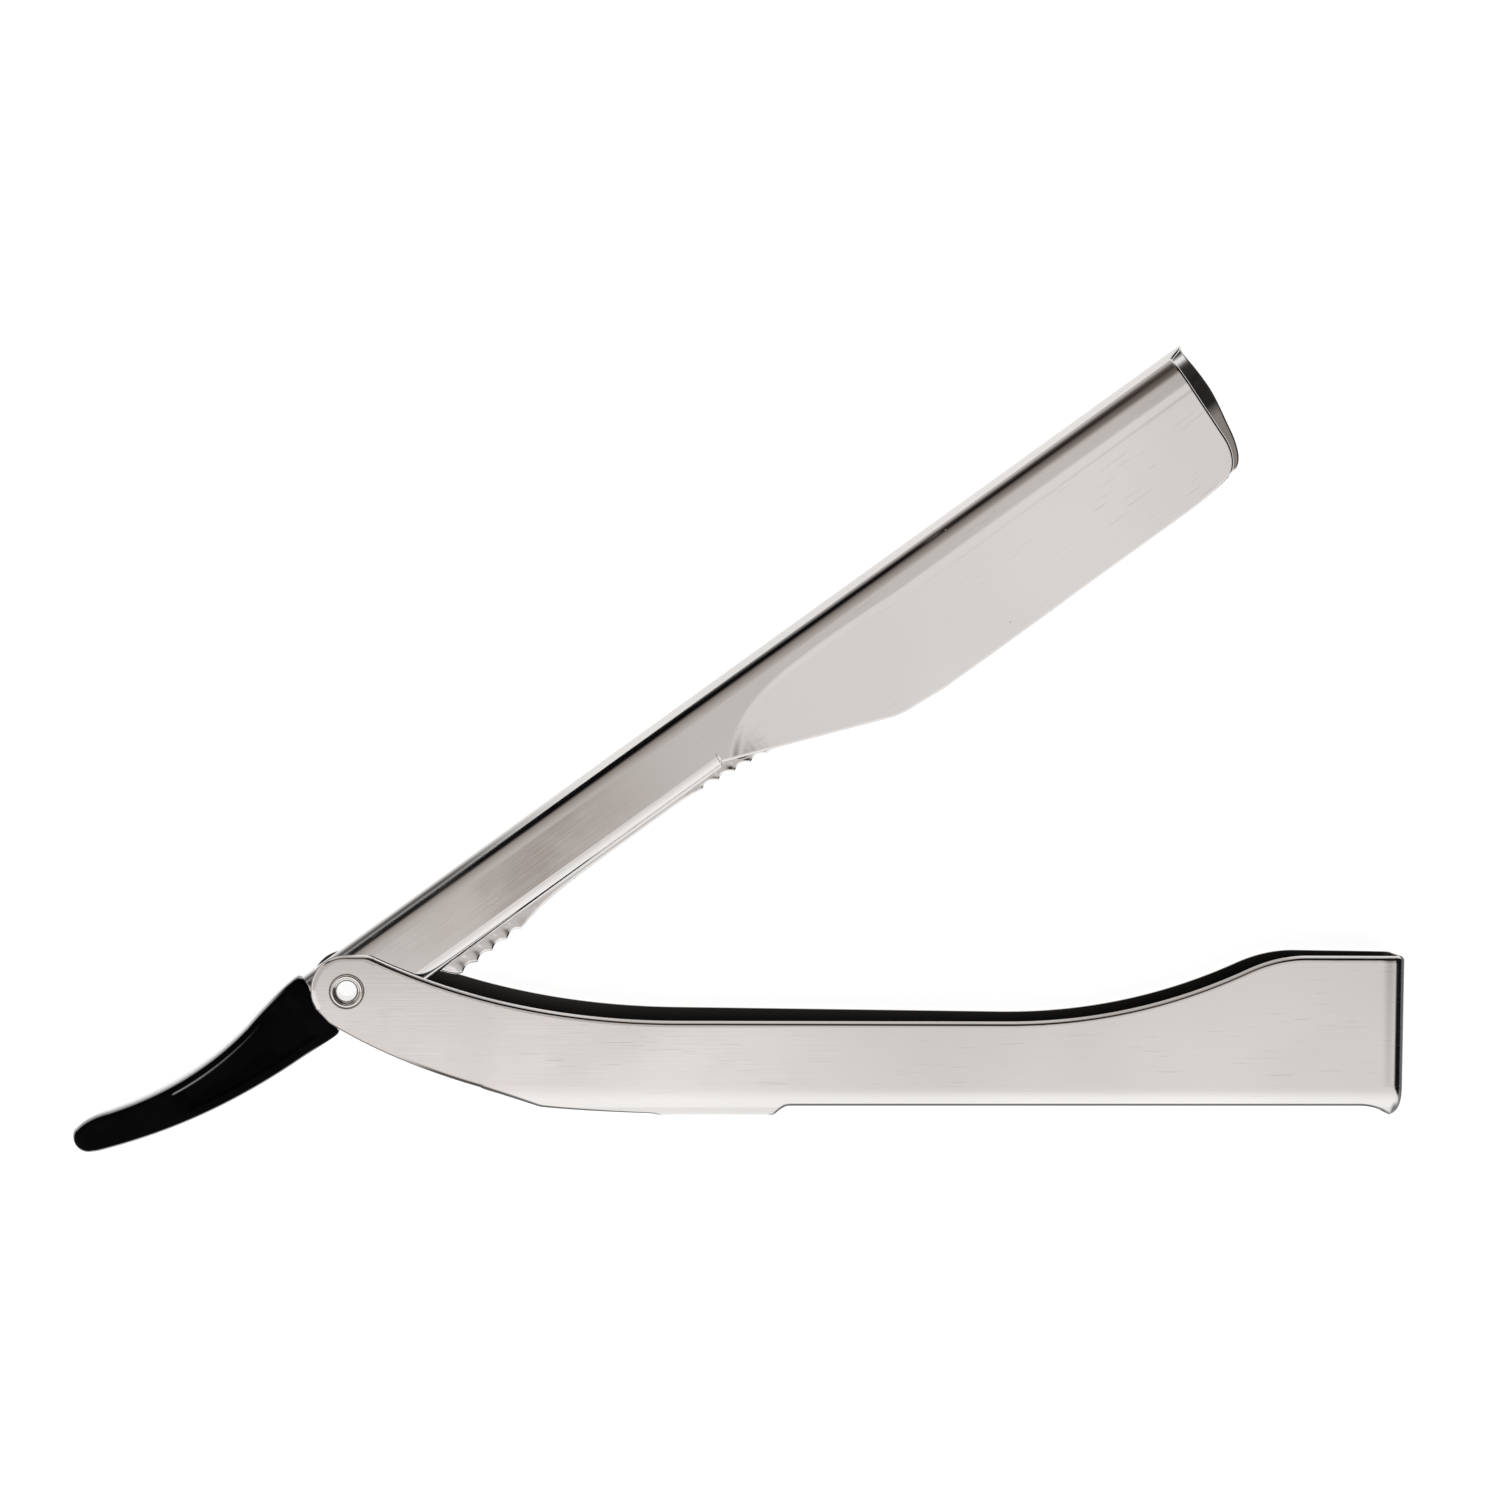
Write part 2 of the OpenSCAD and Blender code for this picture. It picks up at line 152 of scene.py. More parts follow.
class RazorCarrierSettings(bpy.types.PropertyGroup):
    """Sizes of the blade carrier."""

    sheet: length("Sheet", "Thickness of the carrier's sheet", 0.00035)
    bead: length("Bead", "Outer radius of the bead under the spine", 0.0018)
    leaf_gap: length("Leaf gap", "Space between the two leaves", 0.0002)
    pitch: length("Scallop pitch", "Pitch of the finger scallops", 0.00235)
    scallop: length("Scallop depth", "Depth of one scallop", 0.0005)


class RazorTailSettings(bpy.types.PropertyGroup):
    """Sizes of the plastic tail."""

    reach: length("Reach", "Distance from the pivot to the tip", 0.0391)
    width: length("Width", "Thickness where the tail leaves the holder", 0.005)
    tip_width: length("Tip width", "Thickness near the tip", 0.0024)
    edge_round: length("Edge round", "Radius along the edges of the sides", 0.0008)
    panel: length("Panel", "Depth of the shallow panel in each side", 0.00028)


class RazorFinishSettings(bpy.types.PropertyGroup):
    """Colours and wear."""

    steel: colour("Steel", "Colour of the polished stainless sheet", (0.70, 0.68, 0.665))
    inner_steel: colour("Inner steel", "Colour of the carrier's sheet", (0.78, 0.77, 0.76))
    fitting: colour("Fittings", "Colour of the rivet, bush and washers", (0.69, 0.67, 0.65))
    plastic: colour("Plastic", "Colour of the tail", (0.0012, 0.0012, 0.0016))
    wear: FloatProperty(
        name="Wear", description="Strength of scratches and smudges", default=1.0, min=0.0, max=3.0
    )


class RazorStageSettings(bpy.types.PropertyGroup):
    """Camera, light and floor."""

    camera_place: FloatVectorProperty(
        name="Camera", description="Place of the camera", default=(0.00439, 0.04933, 0.496),
        size=3, subtype="TRANSLATION", unit="LENGTH",
    )
    camera_aim: FloatVectorProperty(
        name="Aim", description="Point that the camera looks at", default=(0.05063, 0.03088, 0.004),
        size=3, subtype="TRANSLATION", unit="LENGTH",
    )
    camera_roll: FloatProperty(
        name="Roll", description="Turn of the camera about its view", default=math.radians(0.695),
        subtype="ANGLE",
    )
    lens: FloatProperty(name="Lens", description="Focal length in millimetres", default=93.6, min=10)
    floor: colour("Floor", "Colour of the floor", (0.32, 0.32, 0.32))
    floor_glow: FloatProperty(
        name="Floor glow", description="Light that the lit sweep gives back", default=0.9, min=0.0
    )


GROUPS = {
    "razor_handle": RazorHandleSettings,
    "razor_pivot": RazorPivotSettings,
    "razor_holder": RazorHolderSettings,
    "razor_carrier": RazorCarrierSettings,
    "razor_tail": RazorTailSettings,
    "razor_finish": RazorFinishSettings,
    "razor_stage": RazorStageSettings,
}


# ---- Curves in the plane --------------------------------------------------------------------
def curve(p, q, r, n=24):
    """Quadratic curve from p to r pulled towards q: (1-k)^2 p + 2k(1-k) q + k^2 r."""
    k = np.linspace(0, 1, n + 1)[:, None]
    return (1 - k) ** 2 * np.array(p, float) + 2 * k * (1 - k) * np.array(q) + k**2 * np.array(r)


def arc(centre, radius, start, end, n=24):
    """Points on a circle from the start angle to the end angle, in degrees."""
    a = np.radians(np.linspace(start, end, n + 1))
    return np.array(centre, float) + radius * np.stack([np.cos(a), np.sin(a)], 1)


def resample(line, n):
    """n points at equal distances along a polyline."""
    run = np.concatenate([[0], np.cumsum(np.hypot(*np.diff(line, axis=0).T))])
    at = np.linspace(0, run[-1], n)
    return np.stack([np.interp(at, run, line[:, 0]), np.interp(at, run, line[:, 1])], 1)


def smooth(k):
    """Smooth step: 3k^2 - 2k^3 with k held between 0 and 1."""
    k = np.clip(k, 0, 1)
    return k * k * (3 - 2 * k)


def span(a, b, n, dense=""):
    """n steps from a to b, even or crowded towards the start or the end by a cosine."""
    k = np.linspace(0, 1, n + 1)
    if dense == "start":
        k = 1 - np.cos(k * math.pi / 2)
    if dense == "end":
        k = np.sin(k * math.pi / 2)
    return a + (b - a) * k


def edge_distance(a, g, lines):
    """Distance of every point (a, g) of a development to the nearest segment of the cut lines."""
    best = np.full(np.broadcast(a, g).shape, 1e9)
    for line in lines:
        for (x0, y0), (x1, y1) in zip(line[:-1], line[1:]):
            dx, dy = x1 - x0, y1 - y0
            run = dx * dx + dy * dy
            if run < 1e-12:
                continue
            k = np.clip(((a - x0) * dx + (g - y0) * dy) / run, 0, 1)
            best = np.minimum(best, (a - x0 - k * dx) ** 2 + (g - y0 - k * dy) ** 2)
    return np.sqrt(best)


def full_round(d, width):
    """Half-ellipse: 0 on a cut edge and 1 from the given width inwards."""
    return np.sqrt(np.clip(1 - (1 - np.clip(d / width, 0, 1)) ** 2, 0, 1))


def bevel(d, slope_run, round_run, top):
    """Height over the sheet's middle at distance d from a polished edge.

    The surface rises in a straight slope and then in an arc that ends level at height top.
    """
    angle = math.radians(48)
    radius = round_run / math.sin(angle)
    left = round_run - np.clip(d - slope_run, 0, round_run)
    drop = math.tan(angle) * (slope_run - np.minimum(d, slope_run))
    return top - drop - (radius - np.sqrt(radius**2 - left**2))


EDGE_STEPS = np.array([0, 0.015, 0.05, 0.1, 0.17, 0.25, 0.34, 0.46, 0.62])


def rows_between(top, low, m):
    """m rows from the top line to the low line, crowded at both cut edges."""
    middle = m - 2 * len(EDGE_STEPS)
    run = (top - low)[:, None]
    edge = EDGE_STEPS[None, :] * np.minimum(1, run / 3)
    k = np.linspace(0, 1, middle + 2)[1:-1][None, :]
    inner = edge[:, -1:]
    steps = np.concatenate([edge, inner + (run - 2 * inner) * k, run - edge[:, ::-1]], 1)
    return top[:, None] - steps


def rows_down(low, m):
    """m rows from g = 0 down to each low edge, crowded at the edge."""
    inner = low[:, None] - EDGE_STEPS[::-1][None, :]
    count = m - len(EDGE_STEPS)
    even = np.linspace(0, 1, count + 1)[None, :-1] * inner[:, :1]
    return np.concatenate([even, inner], 1)


# ---- Meshes ---------------------------------------------------------------------------------
def mesh_from_grids(name, grids, sharp=35.0):
    """One mesh from point grids in millimetres, welded where they meet, facing outwards.

    A grid may carry a fourth number at each point, from 0 to 1, which the mesh keeps as an
    attribute: on the steel, painted shade and painted dark reflections with raised roughness;
    on the plastic, painted highlights along its edges.
    """
    verts, faces, dull, first = [], [], [], 0
    for grid in grids:
        n, m = grid.shape[:2]
        ids = first + np.arange(n * m).reshape(n, m)
        quad = np.stack([ids[:-1, :-1], ids[1:, :-1], ids[1:, 1:], ids[:-1, 1:]], -1)
        verts.append(grid[..., :3].reshape(-1, 3) * MM)
        dull.append(grid[..., 3].ravel() if grid.shape[2] == 4 else np.zeros(n * m))
        faces.append(quad.reshape(-1, 4))
        first += n * m
    verts, faces = np.concatenate(verts), np.concatenate(faces)
    mesh = bpy.data.meshes.new(name)
    mesh.vertices.add(len(verts))
    mesh.vertices.foreach_set("co", verts.ravel())
    mesh.loops.add(faces.size)
    mesh.loops.foreach_set("vertex_index", faces.ravel().astype(np.int32))
    mesh.polygons.add(len(faces))
    mesh.polygons.foreach_set("loop_start", np.arange(0, faces.size, 4, dtype=np.int32))
    # The attribute carries painted shade, painted dark reflections and painted highlights.
    layer = mesh.attributes.new("dull", "FLOAT", "POINT")
    layer.data.foreach_set("value", np.concatenate(dull).astype(np.float32))
    mesh.update()
    bm = bmesh.new()
    bm.from_mesh(mesh)
    bmesh.ops.remove_doubles(bm, verts=bm.verts, dist=WELD)
    bmesh.ops.dissolve_degenerate(bm, edges=bm.edges, dist=WELD)
    bmesh.ops.recalc_face_normals(bm, faces=bm.faces)
    bm.to_mesh(mesh)
    open_edges = sum(1 for e in bm.edges if not e.is_manifold)
    bm.free()
    print(f"{name}: {len(mesh.polygons)} faces, {open_edges} open edges")
    mesh.polygons.foreach_set("use_smooth", np.ones(len(mesh.polygons), bool))
    mesh.set_sharp_from_angle(angle=math.radians(sharp))
    return mesh


def piece(name, mesh, body, slot, material, *nodes):
    """An object in the shared frame that rides on a body and stands for CAD nodes."""
    obj = bpy.data.objects.new(name, mesh)
    bpy.context.scene.collection.objects.link(obj)
    mesh.materials.append(material)
    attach(obj, body)
    if nodes:
        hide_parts(*nodes)
    return obj


def drill(mesh, radius, name):
    """Cuts a round hole along the pivot axis through a mesh with an exact boolean."""
    wall = arc([0, 0], radius, 0, 360, 64)
    z = np.full((len(wall), 1), 9.0)
    rings = [np.hstack([wall * k, z * way]) for k, way in ((0, -1), (1, -1), (1, 1), (0, 1))]
    cutter_mesh = mesh_from_grids(name + "_cutter", [np.stack(rings)])
    cutter = bpy.data.objects.new(name + "_cutter", cutter_mesh)
    work = bpy.data.objects.new(name + "_work", mesh)
    for obj in (cutter, work):
        bpy.context.scene.collection.objects.link(obj)
    cut = work.modifiers.new("hole", "BOOLEAN")
    cut.operation = "DIFFERENCE"
    cut.solver = "EXACT"
    cut.object = cutter
    bpy.context.view_layer.update()
    done = bpy.data.meshes.new_from_object(work.evaluated_get(bpy.context.evaluated_depsgraph_get()))
    for obj in (cutter, work):
        bpy.data.objects.remove(obj)
    done.name = name
    return done


def arm_to_frame(s, t, z, pivot_depth):
    """Arm coordinates to the frame: turned by the arm's angle about the pivot."""
    y = pivot_depth - t
    c, n = math.cos(ARM_ANGLE), math.sin(ARM_ANGLE)
    return np.stack([s * c - y * n, s * n + y * c, z + 0 * s], -1)


# ---- Materials ------------------------------------------------------------------------------
def node_adder(tree):
    """A helper that adds a shader node to a tree, sets its values and links its inputs."""

    def add(kind, values=None, links=None):
        node = tree.nodes.new("ShaderNode" + kind)
        for key, value in (values or {}).items():
            if isinstance(key, str) and hasattr(node, key):
                setattr(node, key, value)
            else:
                node.inputs[key].default_value = value
        for key, source in (links or {}).items():
            tree.links.new(source, node.inputs[key])
        return node

    return add


def new_material(name):
    """An empty node material, its tree and its shader, and the helper that adds nodes."""
    material = bpy.data.materials.new(name)
    material.use_nodes = True
    tree = material.node_tree
    tree.nodes.clear()
    shader = tree.nodes.new("ShaderNodeBsdfPrincipled")
    output = tree.nodes.new("ShaderNodeOutputMaterial")
    tree.links.new(shader.outputs[0], output.inputs["Surface"])
    return material, tree, shader, node_adder(tree)


def tone(tint, share=1.0, lift=0.0):
    """A colour scaled and lifted, as RGBA."""
    return (*[c * share + lift for c in tint], 1)


def ramp(add, source, low, high, low_value=0.0, high_value=1.0):
    """Maps a value between two limits to another range, smoothly."""
    return add(
        "MapRange",
        {"interpolation_type": "SMOOTHSTEP", "From Min": low, "From Max": high,
         "To Min": low_value, "To Max": high_value},
        {"Value": source},
    ).outputs[0]


def scratches(add, along):
    """Stray scratches at three angles, from 0 to 1: the crests of strongly stretched noise."""
    found = None
    for angle, shift in ((0.35, 0.0), (-0.8, 0.37), (1.9, 0.71)):
        lines = add(
            "Mapping",
            {"Rotation": (0, 0, angle), "Location": (shift, shift, 0), "Scale": (160, 5200, 160)},
            {"Vector": along},
        ).outputs[0]
        noise = add("TexNoise", {"Scale": 1.0, "Detail": 1.0, "Distortion": 0.1}, {"Vector": lines})
        line = ramp(add, noise.outputs["Fac"], 0.72, 0.8)
        if found is None:
            found = line
        else:
            found = add("Math", {"operation": "MAXIMUM"}, {0: found, 1: line}).outputs[0]
    return add("Math", {"operation": "MULTIPLY", 1: 0.4}, {0: found}).outputs[0]


def steel_material(name, tint, turn, roughness, wear):
    """Polished stainless sheet: fine brushing along the piece, stray scratches, pits, smudges.

    The mesh attribute darkens and roughens it: painted dark reflections along cut edges and
    bends, and painted shade on the insides.
    """
    material, tree, shader, add = new_material(name)
    place = add("TexCoord").outputs["Object"]
    along = add("Mapping", {"Rotation": (0, 0, -turn)}, {"Vector": place}).outputs[0]
    stretched = add("Mapping", {"Scale": (60, 6500, 6500)}, {"Vector": along}).outputs[0]
    brush = add("TexNoise", {"Scale": 1.0, "Detail": 4.0, "Roughness": 0.6}, {"Vector": stretched})
    cloud = add("TexNoise", {"Scale": 90.0, "Detail": 3.0, "Roughness": 0.55}, {"Vector": along})
    broad = add("TexNoise", {"Scale": 22.0, "Detail": 2.0}, {"Vector": along})
    pits = add("TexVoronoi", {"Scale": 620.0, "Randomness": 1.0}, {"Vector": along})
    pit_mask = ramp(add, pits.outputs["Distance"], 0.02, 0.11, 1.0, 0.0)
    pit_where = ramp(add, cloud.outputs["Fac"], 0.58, 0.66)
    pit = add("Math", {"operation": "MULTIPLY"}, {0: pit_mask, 1: pit_where}).outputs[0]
    marks = add("Math", {"operation": "MAXIMUM"}, {0: pit, 1: scratches(add, along)}).outputs[0]
    amount = add("Math", {"operation": "MULTIPLY", 1: 0.35 * wear}, {0: marks}).outputs[0]
    dull = add("Attribute", {"attribute_name": "dull"}).outputs["Fac"]

    fade = ramp(add, broad.outputs["Fac"], 0.35, 0.7, 0.0, 0.45)
    colour_of = {"data_type": "RGBA", "A": tone(tint), "B": tone(tint, 0.86)}
    colour_now = add("Mix", colour_of, {"Factor": fade}).outputs["Result"]
    # Wear marks darken towards half the tint; the mesh's mask darkens towards 8 %: painted shade and
    # painted dark reflections.
    for share, factor in ((0.5, amount), (0.08, dull)):
        links = {"Factor": factor, "A": colour_now}
        colour_now = add("Mix", {"data_type": "RGBA", "B": tone(tint, share)}, links).outputs["Result"]
    tree.links.new(colour_now, shader.inputs["Base Color"])

    grain = ramp(add, brush.outputs["Fac"], 0.3, 0.7, roughness * 0.75, roughness * 1.3)
    smudge = ramp(add, cloud.outputs["Fac"], 0.4, 0.75, 0.0, 0.05 * wear)
    rough = add("Math", {"operation": "ADD"}, {0: grain, 1: smudge}).outputs[0]
    rough = add("Math", {"operation": "ADD", "use_clamp": True}, {0: rough, 1: amount}).outputs[0]
    rough = add("Math", {"operation": "MULTIPLY_ADD", 1: 0.3}, {0: dull, 2: rough}).outputs[0]
    tree.links.new(rough, shader.inputs["Roughness"])

    height = add("Math", {"operation": "MULTIPLY_ADD", 1: -0.6}, {0: marks, 2: brush.outputs["Fac"]})
    bump = add("Bump", {"Strength": 0.1, "Distance": 0.00001}, {"Height": height.outputs[0]})
    tree.links.new(bump.outputs[0], shader.inputs["Normal"])
    shader.inputs["Metallic"].default_value = 1.0
    return material


def plastic_material(name, tint, wear):
    """Glossy black moulding: faint flow waviness and fine rub marks.

    The mesh attribute marks painted highlights along its edges and the groove: a light grey
    mixed into the base colour, with a stronger specular.
    """
    material, tree, shader, add = new_material(name)
    place = add("TexCoord").outputs["Object"]
    wave = add("TexNoise", {"Scale": 240.0, "Detail": 2.0}, {"Vector": place})
    rub = add("Mapping", {"Rotation": (0, 0, -0.6), "Scale": (120, 3800, 300)}, {"Vector": place})
    hair = add("TexNoise", {"Scale": 1.0, "Detail": 2.0}, {"Vector": rub.outputs[0]})
    hairline = ramp(add, hair.outputs["Fac"], 0.66, 0.74)
    waviness = ramp(add, wave.outputs["Fac"], 0.3, 0.8)
    tones = {"data_type": "RGBA", "A": tone(tint), "B": tone(tint, 2, 0.0006)}
    base = add("Mix", tones, {"Factor": waviness}).outputs["Result"]
    # Painted highlight: the mesh's mask mixes a light grey into the base colour along the edges and the
    # groove.
    edge = add("Attribute", {"attribute_name": "dull"}).outputs["Fac"]
    painted_edge_highlight = {"data_type": "RGBA", "B": (0.5, 0.5, 0.52, 1)}
    # Base colour with the painted edge highlight mixed in.
    polished = add("Mix", painted_edge_highlight, {"Factor": edge, "A": base})
    tree.links.new(polished.outputs["Result"], shader.inputs["Base Color"])
    gloss = ramp(add, wave.outputs["Fac"], 0.3, 0.75, 0.05, 0.11)
    marks = add("Math", {"operation": "MULTIPLY", 1: 0.12 * wear}, {0: hairline}).outputs[0]
    rough = add("Math", {"operation": "ADD"}, {0: gloss, 1: marks}).outputs[0]
    tree.links.new(rough, shader.inputs["Roughness"])
    height = add(
        "Math", {"operation": "MULTIPLY_ADD", 1: -0.3}, {0: hairline, 2: wave.outputs["Fac"]}
    )
    bump = add("Bump", {"Strength": 0.12, "Distance": 0.00004}, {"Height": height.outputs[0]})
    tree.links.new(bump.outputs[0], shader.inputs["Normal"])
    shader.inputs["IOR"].default_value = 1.5
    shine = add("Math", {"operation": "MULTIPLY_ADD", 1: 0.5, 2: 0.02}, {0: edge}).outputs[0]
    tree.links.new(shine, shader.inputs["Specular IOR Level"])
    return material


# Tint, direction of the brushing and roughness of each steel.
STEELS = {
    "handle_steel": ("steel", 0.0, 0.07),
    "holder_steel": ("steel", ARM_ANGLE, 0.07),
    "carrier_steel": ("inner_steel", ARM_ANGLE, 0.1),
    "fitting_steel": ("fitting", 0.0, 0.08),
}


def finish(kind):
    """The material of a kind of steel or plastic, made once and then shared."""
    settings = bpy.context.scene.razor_finish
    name = "looks_" + kind
    if name in bpy.data.materials:
        return bpy.data.materials[name]
    if kind not in STEELS:
        return plastic_material(name, tuple(settings.plastic), settings.wear)
    tint, turn, roughness = STEELS[kind]
    return steel_material(name, tuple(getattr(settings, tint)), turn, roughness, settings.wear)


# ---- Handle ---------------------------------------------------------------------------------
class HandleBlank:
    """The handle's flat development and the fold that shapes it.

    a runs along the handle and then round its end bend and across its end wall; g is the height
    above the line where the half-round bottom fold begins, measured along the sheet.
    """

    def __init__(self, settings):
        self.half_sheet = settings.sheet / MM / 2
        self.radius = HANDLE_HIGH[2] - self.half_sheet
        self.reach = HANDLE_HIGH[0]
        self.depth = -HANDLE_LOW[1]
        self.fold_y = -self.depth + HANDLE_HIGH[2]
        self.fold_run = self.radius * math.pi / 2
        self.bend = settings.end_bend / MM
        self.bend_x = self.reach - self.bend - self.half_sheet
        self.bend_end = self.bend_x + self.bend * math.pi / 2
        self.wall_end = self.bend_end + self.radius - self.bend
        self.ear = settings.ear / MM
        self.rim_drop = settings.rim_drop / MM
        self.end_rise = settings.end_rise / MM
        self.rear_rise = settings.rear_rise / MM
        self.rim_bevel = settings.rim_bevel / MM
        self.rim_round = settings.rim_round / MM
        self.slot_start = settings.slot_start / MM
        self.slot_half = settings.slot_half / MM
        self.slot_end = self.bend_x + 0.3
        self.gap_end = settings.tail_gap_end / MM
        self.dish_depth = settings.dish_depth / MM
        self.dish = 2.1
        self.lean = 0.085
        self.hole = 1.7
        self.join_x = self.ear - 0.3
        self.ear_x = -0.2
        self.open_x = 16.9

    def rise(self, x):
        """Extra height of the rear rim."""
        k = np.clip((x - 5) / 9, 0, 1) * np.clip(1 - (x - 14) / (self.reach - 14), 0, 1)
        return self.rear_rise * k

    def rim_line(self, side):
        """The rim from the ear's top to the closed end, as (x, y)."""
        low = self.reach - 52
        drop, top = -self.rim_drop, self.end_rise
        line = np.concatenate([
            [[2.2, self.ear + 0.3]],
            curve([2.5, self.ear + 0.28], [3.0, self.ear + 0.15], [3.5, self.ear - 0.1], 6),
            curve([3.5, self.ear - 0.1], [20.8, drop], [42, drop], 48),
            curve([low, drop], [low + 16.3, drop], [low + 31, top - 1.85], 40),
            curve([low + 31, top - 1.85], [low + 34.7, top - 0.1], [low + 38.5, top], 16),
            arc([self.reach - 0.5, top - 0.5], 0.5, 90, 0, 8),
        ])
        if side < 0:
            line[:, 1] += self.rise(line[:, 0])
        return line

    def belly_line(self):
        """The lower edge of a cheek from below the ear to where the fold begins."""
        return curve([-2.2, -4], [6, self.fold_y + 3.1], [self.open_x, self.fold_y], 32)

    def gap_line(self):
        """Edge of the tail's opening as (x, half-width round the fold from the bottom)."""
        end = 1.75
        plan = np.concatenate([
            curve([self.open_x, HANDLE_HIGH[2]], [21.5, 3.95], [24.5, 3.0]),
            curve([24.5, 3.0], [29, 2.55], [self.gap_end, end]),
            arc([self.gap_end, 0], end, 80, 0, 20),
        ])
        plan[:, 1] = self.radius * np.arcsin(np.clip(plan[:, 1] / HANDLE_HIGH[2], 0, 1))
        return plan

    def slot_line(self):
        """Half of the long slot's edge, as (x, half-width round the fold)."""
        w = self.slot_half
        near = arc([0, 0], 1, 180, 90) * [1.8, w] + [self.slot_start + 1.8, 0]
        far = arc([0, 0], 1, 90, 0) * [4.5, w] + [self.slot_end - 4.5, 0]
        return np.concatenate([near, far])

    def low_edge(self, a):
        """Lowest g of the blank at each a."""
        belly, gap, slot = self.belly_line(), self.gap_line(), self.slot_line()
        bottom = -self.fold_run
        g = np.full(a.shape, bottom)
        in_belly = a <= self.open_x
        g[in_belly] = np.interp(a[in_belly], belly[:, 0], belly[:, 1] - self.fold_y)
        in_gap = (a > self.open_x) & (a < gap[-1, 0])
        g[in_gap] = bottom + np.interp(a[in_gap], gap[:, 0], gap[:, 1])
        in_slot = (a > self.slot_start) & (a < self.slot_end)
        g[in_slot] = bottom + np.interp(a[in_slot], slot[:, 0], slot[:, 1])
        return g

    def mid_x(self, a):
        """Where the middle of the sheet lies along X."""
        turn = np.clip((a - self.bend_x) / self.bend, 0, math.pi / 2)
        return np.minimum(a, self.bend_x) + self.bend * np.sin(turn)

    def high_edge(self, a, side):
        """Highest g of the blank at each a."""
        rim = self.rim_line(side)
        return np.interp(self.mid_x(a), rim[:, 0], rim[:, 1]) - self.fold_y

    def fold(self, a, g, off, side):
        """Folds the blank: a flat cheek, a half-round bottom, a bend and an end wall.

        The cheek is dished round the rivet, a little more on its inner skin, and leans in gently
        just before the end bend.
        """
        turn = np.clip((a - self.bend_x) / self.bend, 0, math.pi / 2)
        across = 1 - np.clip((a - self.bend_end) / (self.wall_end - self.bend_end), 0, 1)
        x = np.minimum(a, self.bend_x) + (self.bend + off) * np.sin(turn)
        width = (self.radius + off) - (self.bend + off) * (1 - np.cos(turn))
        phi = np.clip(-g / self.radius, 0, math.pi / 2)
        y = self.fold_y + np.maximum(g, 0) - width * np.sin(phi)
        z = across * width * np.cos(phi)
        from_pivot = np.hypot(x, y)
        sink = self.dish_depth - 0.025 * (1 - off / self.half_sheet)
        z = z - sink * (1 - smooth((from_pivot - self.dish) / 0.16))
        z = z - self.lean * smooth((a - self.bend_x + 1.7) / 2.0)
        return np.stack([x, y, side * z], -1)

    def ear_line(self, side):
        """The cut edge round the ear, from the rim at the join down to the belly at the join."""
        rim, belly = self.rim_line(side), self.belly_line()
        top = np.interp(self.join_x, rim[:, 0], rim[:, 1])
        low = np.interp(self.join_x, belly[:, 0], belly[:, 1])
        before = rim[rim[:, 0] < self.join_x][::-1]
        after = belly[belly[:, 0] < self.join_x]
        return np.concatenate([
            [[self.join_x, top]], before,
            self.ear_arc(), after, [[self.join_x, low]],
        ])

    def ear_arc(self):
        """The round of the ear as (x, y), from its top round the back to the belly."""
        top, low = [self.ear_x, 0.3], [self.ear_x, 0]
        return np.concatenate([arc(top, self.ear, 90, 180), arc(low, self.ear, 180, 212, 10)])

    def polished_cuts(self, side, columns):
        """The rim and the ear in the development, as lists of (a, g)."""
        beyond = columns[columns >= self.join_x][::-1]
        rim = np.stack([beyond, self.high_edge(beyond, side)], 1)
        line = self.rim_line(side)
        before = line[line[:, 0] < self.join_x][::-1]
        ear = np.concatenate([before, self.ear_arc()]) - [0, self.fold_y]
        return [np.concatenate([rim, ear])]

    def plain_cuts(self):
        """The belly, the tail's opening and the slot in the development, as lists of (a, g)."""
        belly = self.belly_line() - [0, self.fold_y]
        belly = np.concatenate([self.ear_arc()[-1:] - [0, self.fold_y], belly])
        gap = self.gap_line() - [0, self.fold_run]
        slot = self.slot_line() - [0, self.fold_run]
        return [np.concatenate([belly, gap]), slot]

    def skins(self, a, g, side, columns, hole_distance=None):
        """Outer and inner skin of the sheet at (a, g), with its edges worked.

        The rim gets a polished slope. The other cuts get a small rounding and a painted dark
        reflection with raised roughness, as do the outline of the ear, the end bend and the lower
        end corner. The inner skin gets painted shade, with raised roughness, away from its edges.
        """
        rim = edge_distance(a, g, self.polished_cuts(side, columns))
        plain = edge_distance(a, g, self.plain_cuts())
        if hole_distance is not None:
            plain = np.minimum(plain, hole_distance)
        half = self.half_sheet
        share = np.maximum(smooth((g + self.fold_y + 3.4) / 1.4), smooth((a - 3) / 3))
        foot = bevel(0.0, self.rim_bevel, self.rim_round, half)
        slope = bevel(rim, self.rim_bevel, self.rim_round, half)
        outer = share * slope + (1 - share) * half * full_round(rim, 0.3)
        outer = np.minimum(outer, half * full_round(plain, 0.1))
        under = foot - (half + foot) * full_round(rim, 0.12)
        inner = share * under - (1 - share) * half * full_round(rim, 0.22)
        inner = np.maximum(inner, -half * full_round(plain, 0.22))
        turn = (a - self.bend_x) / self.bend
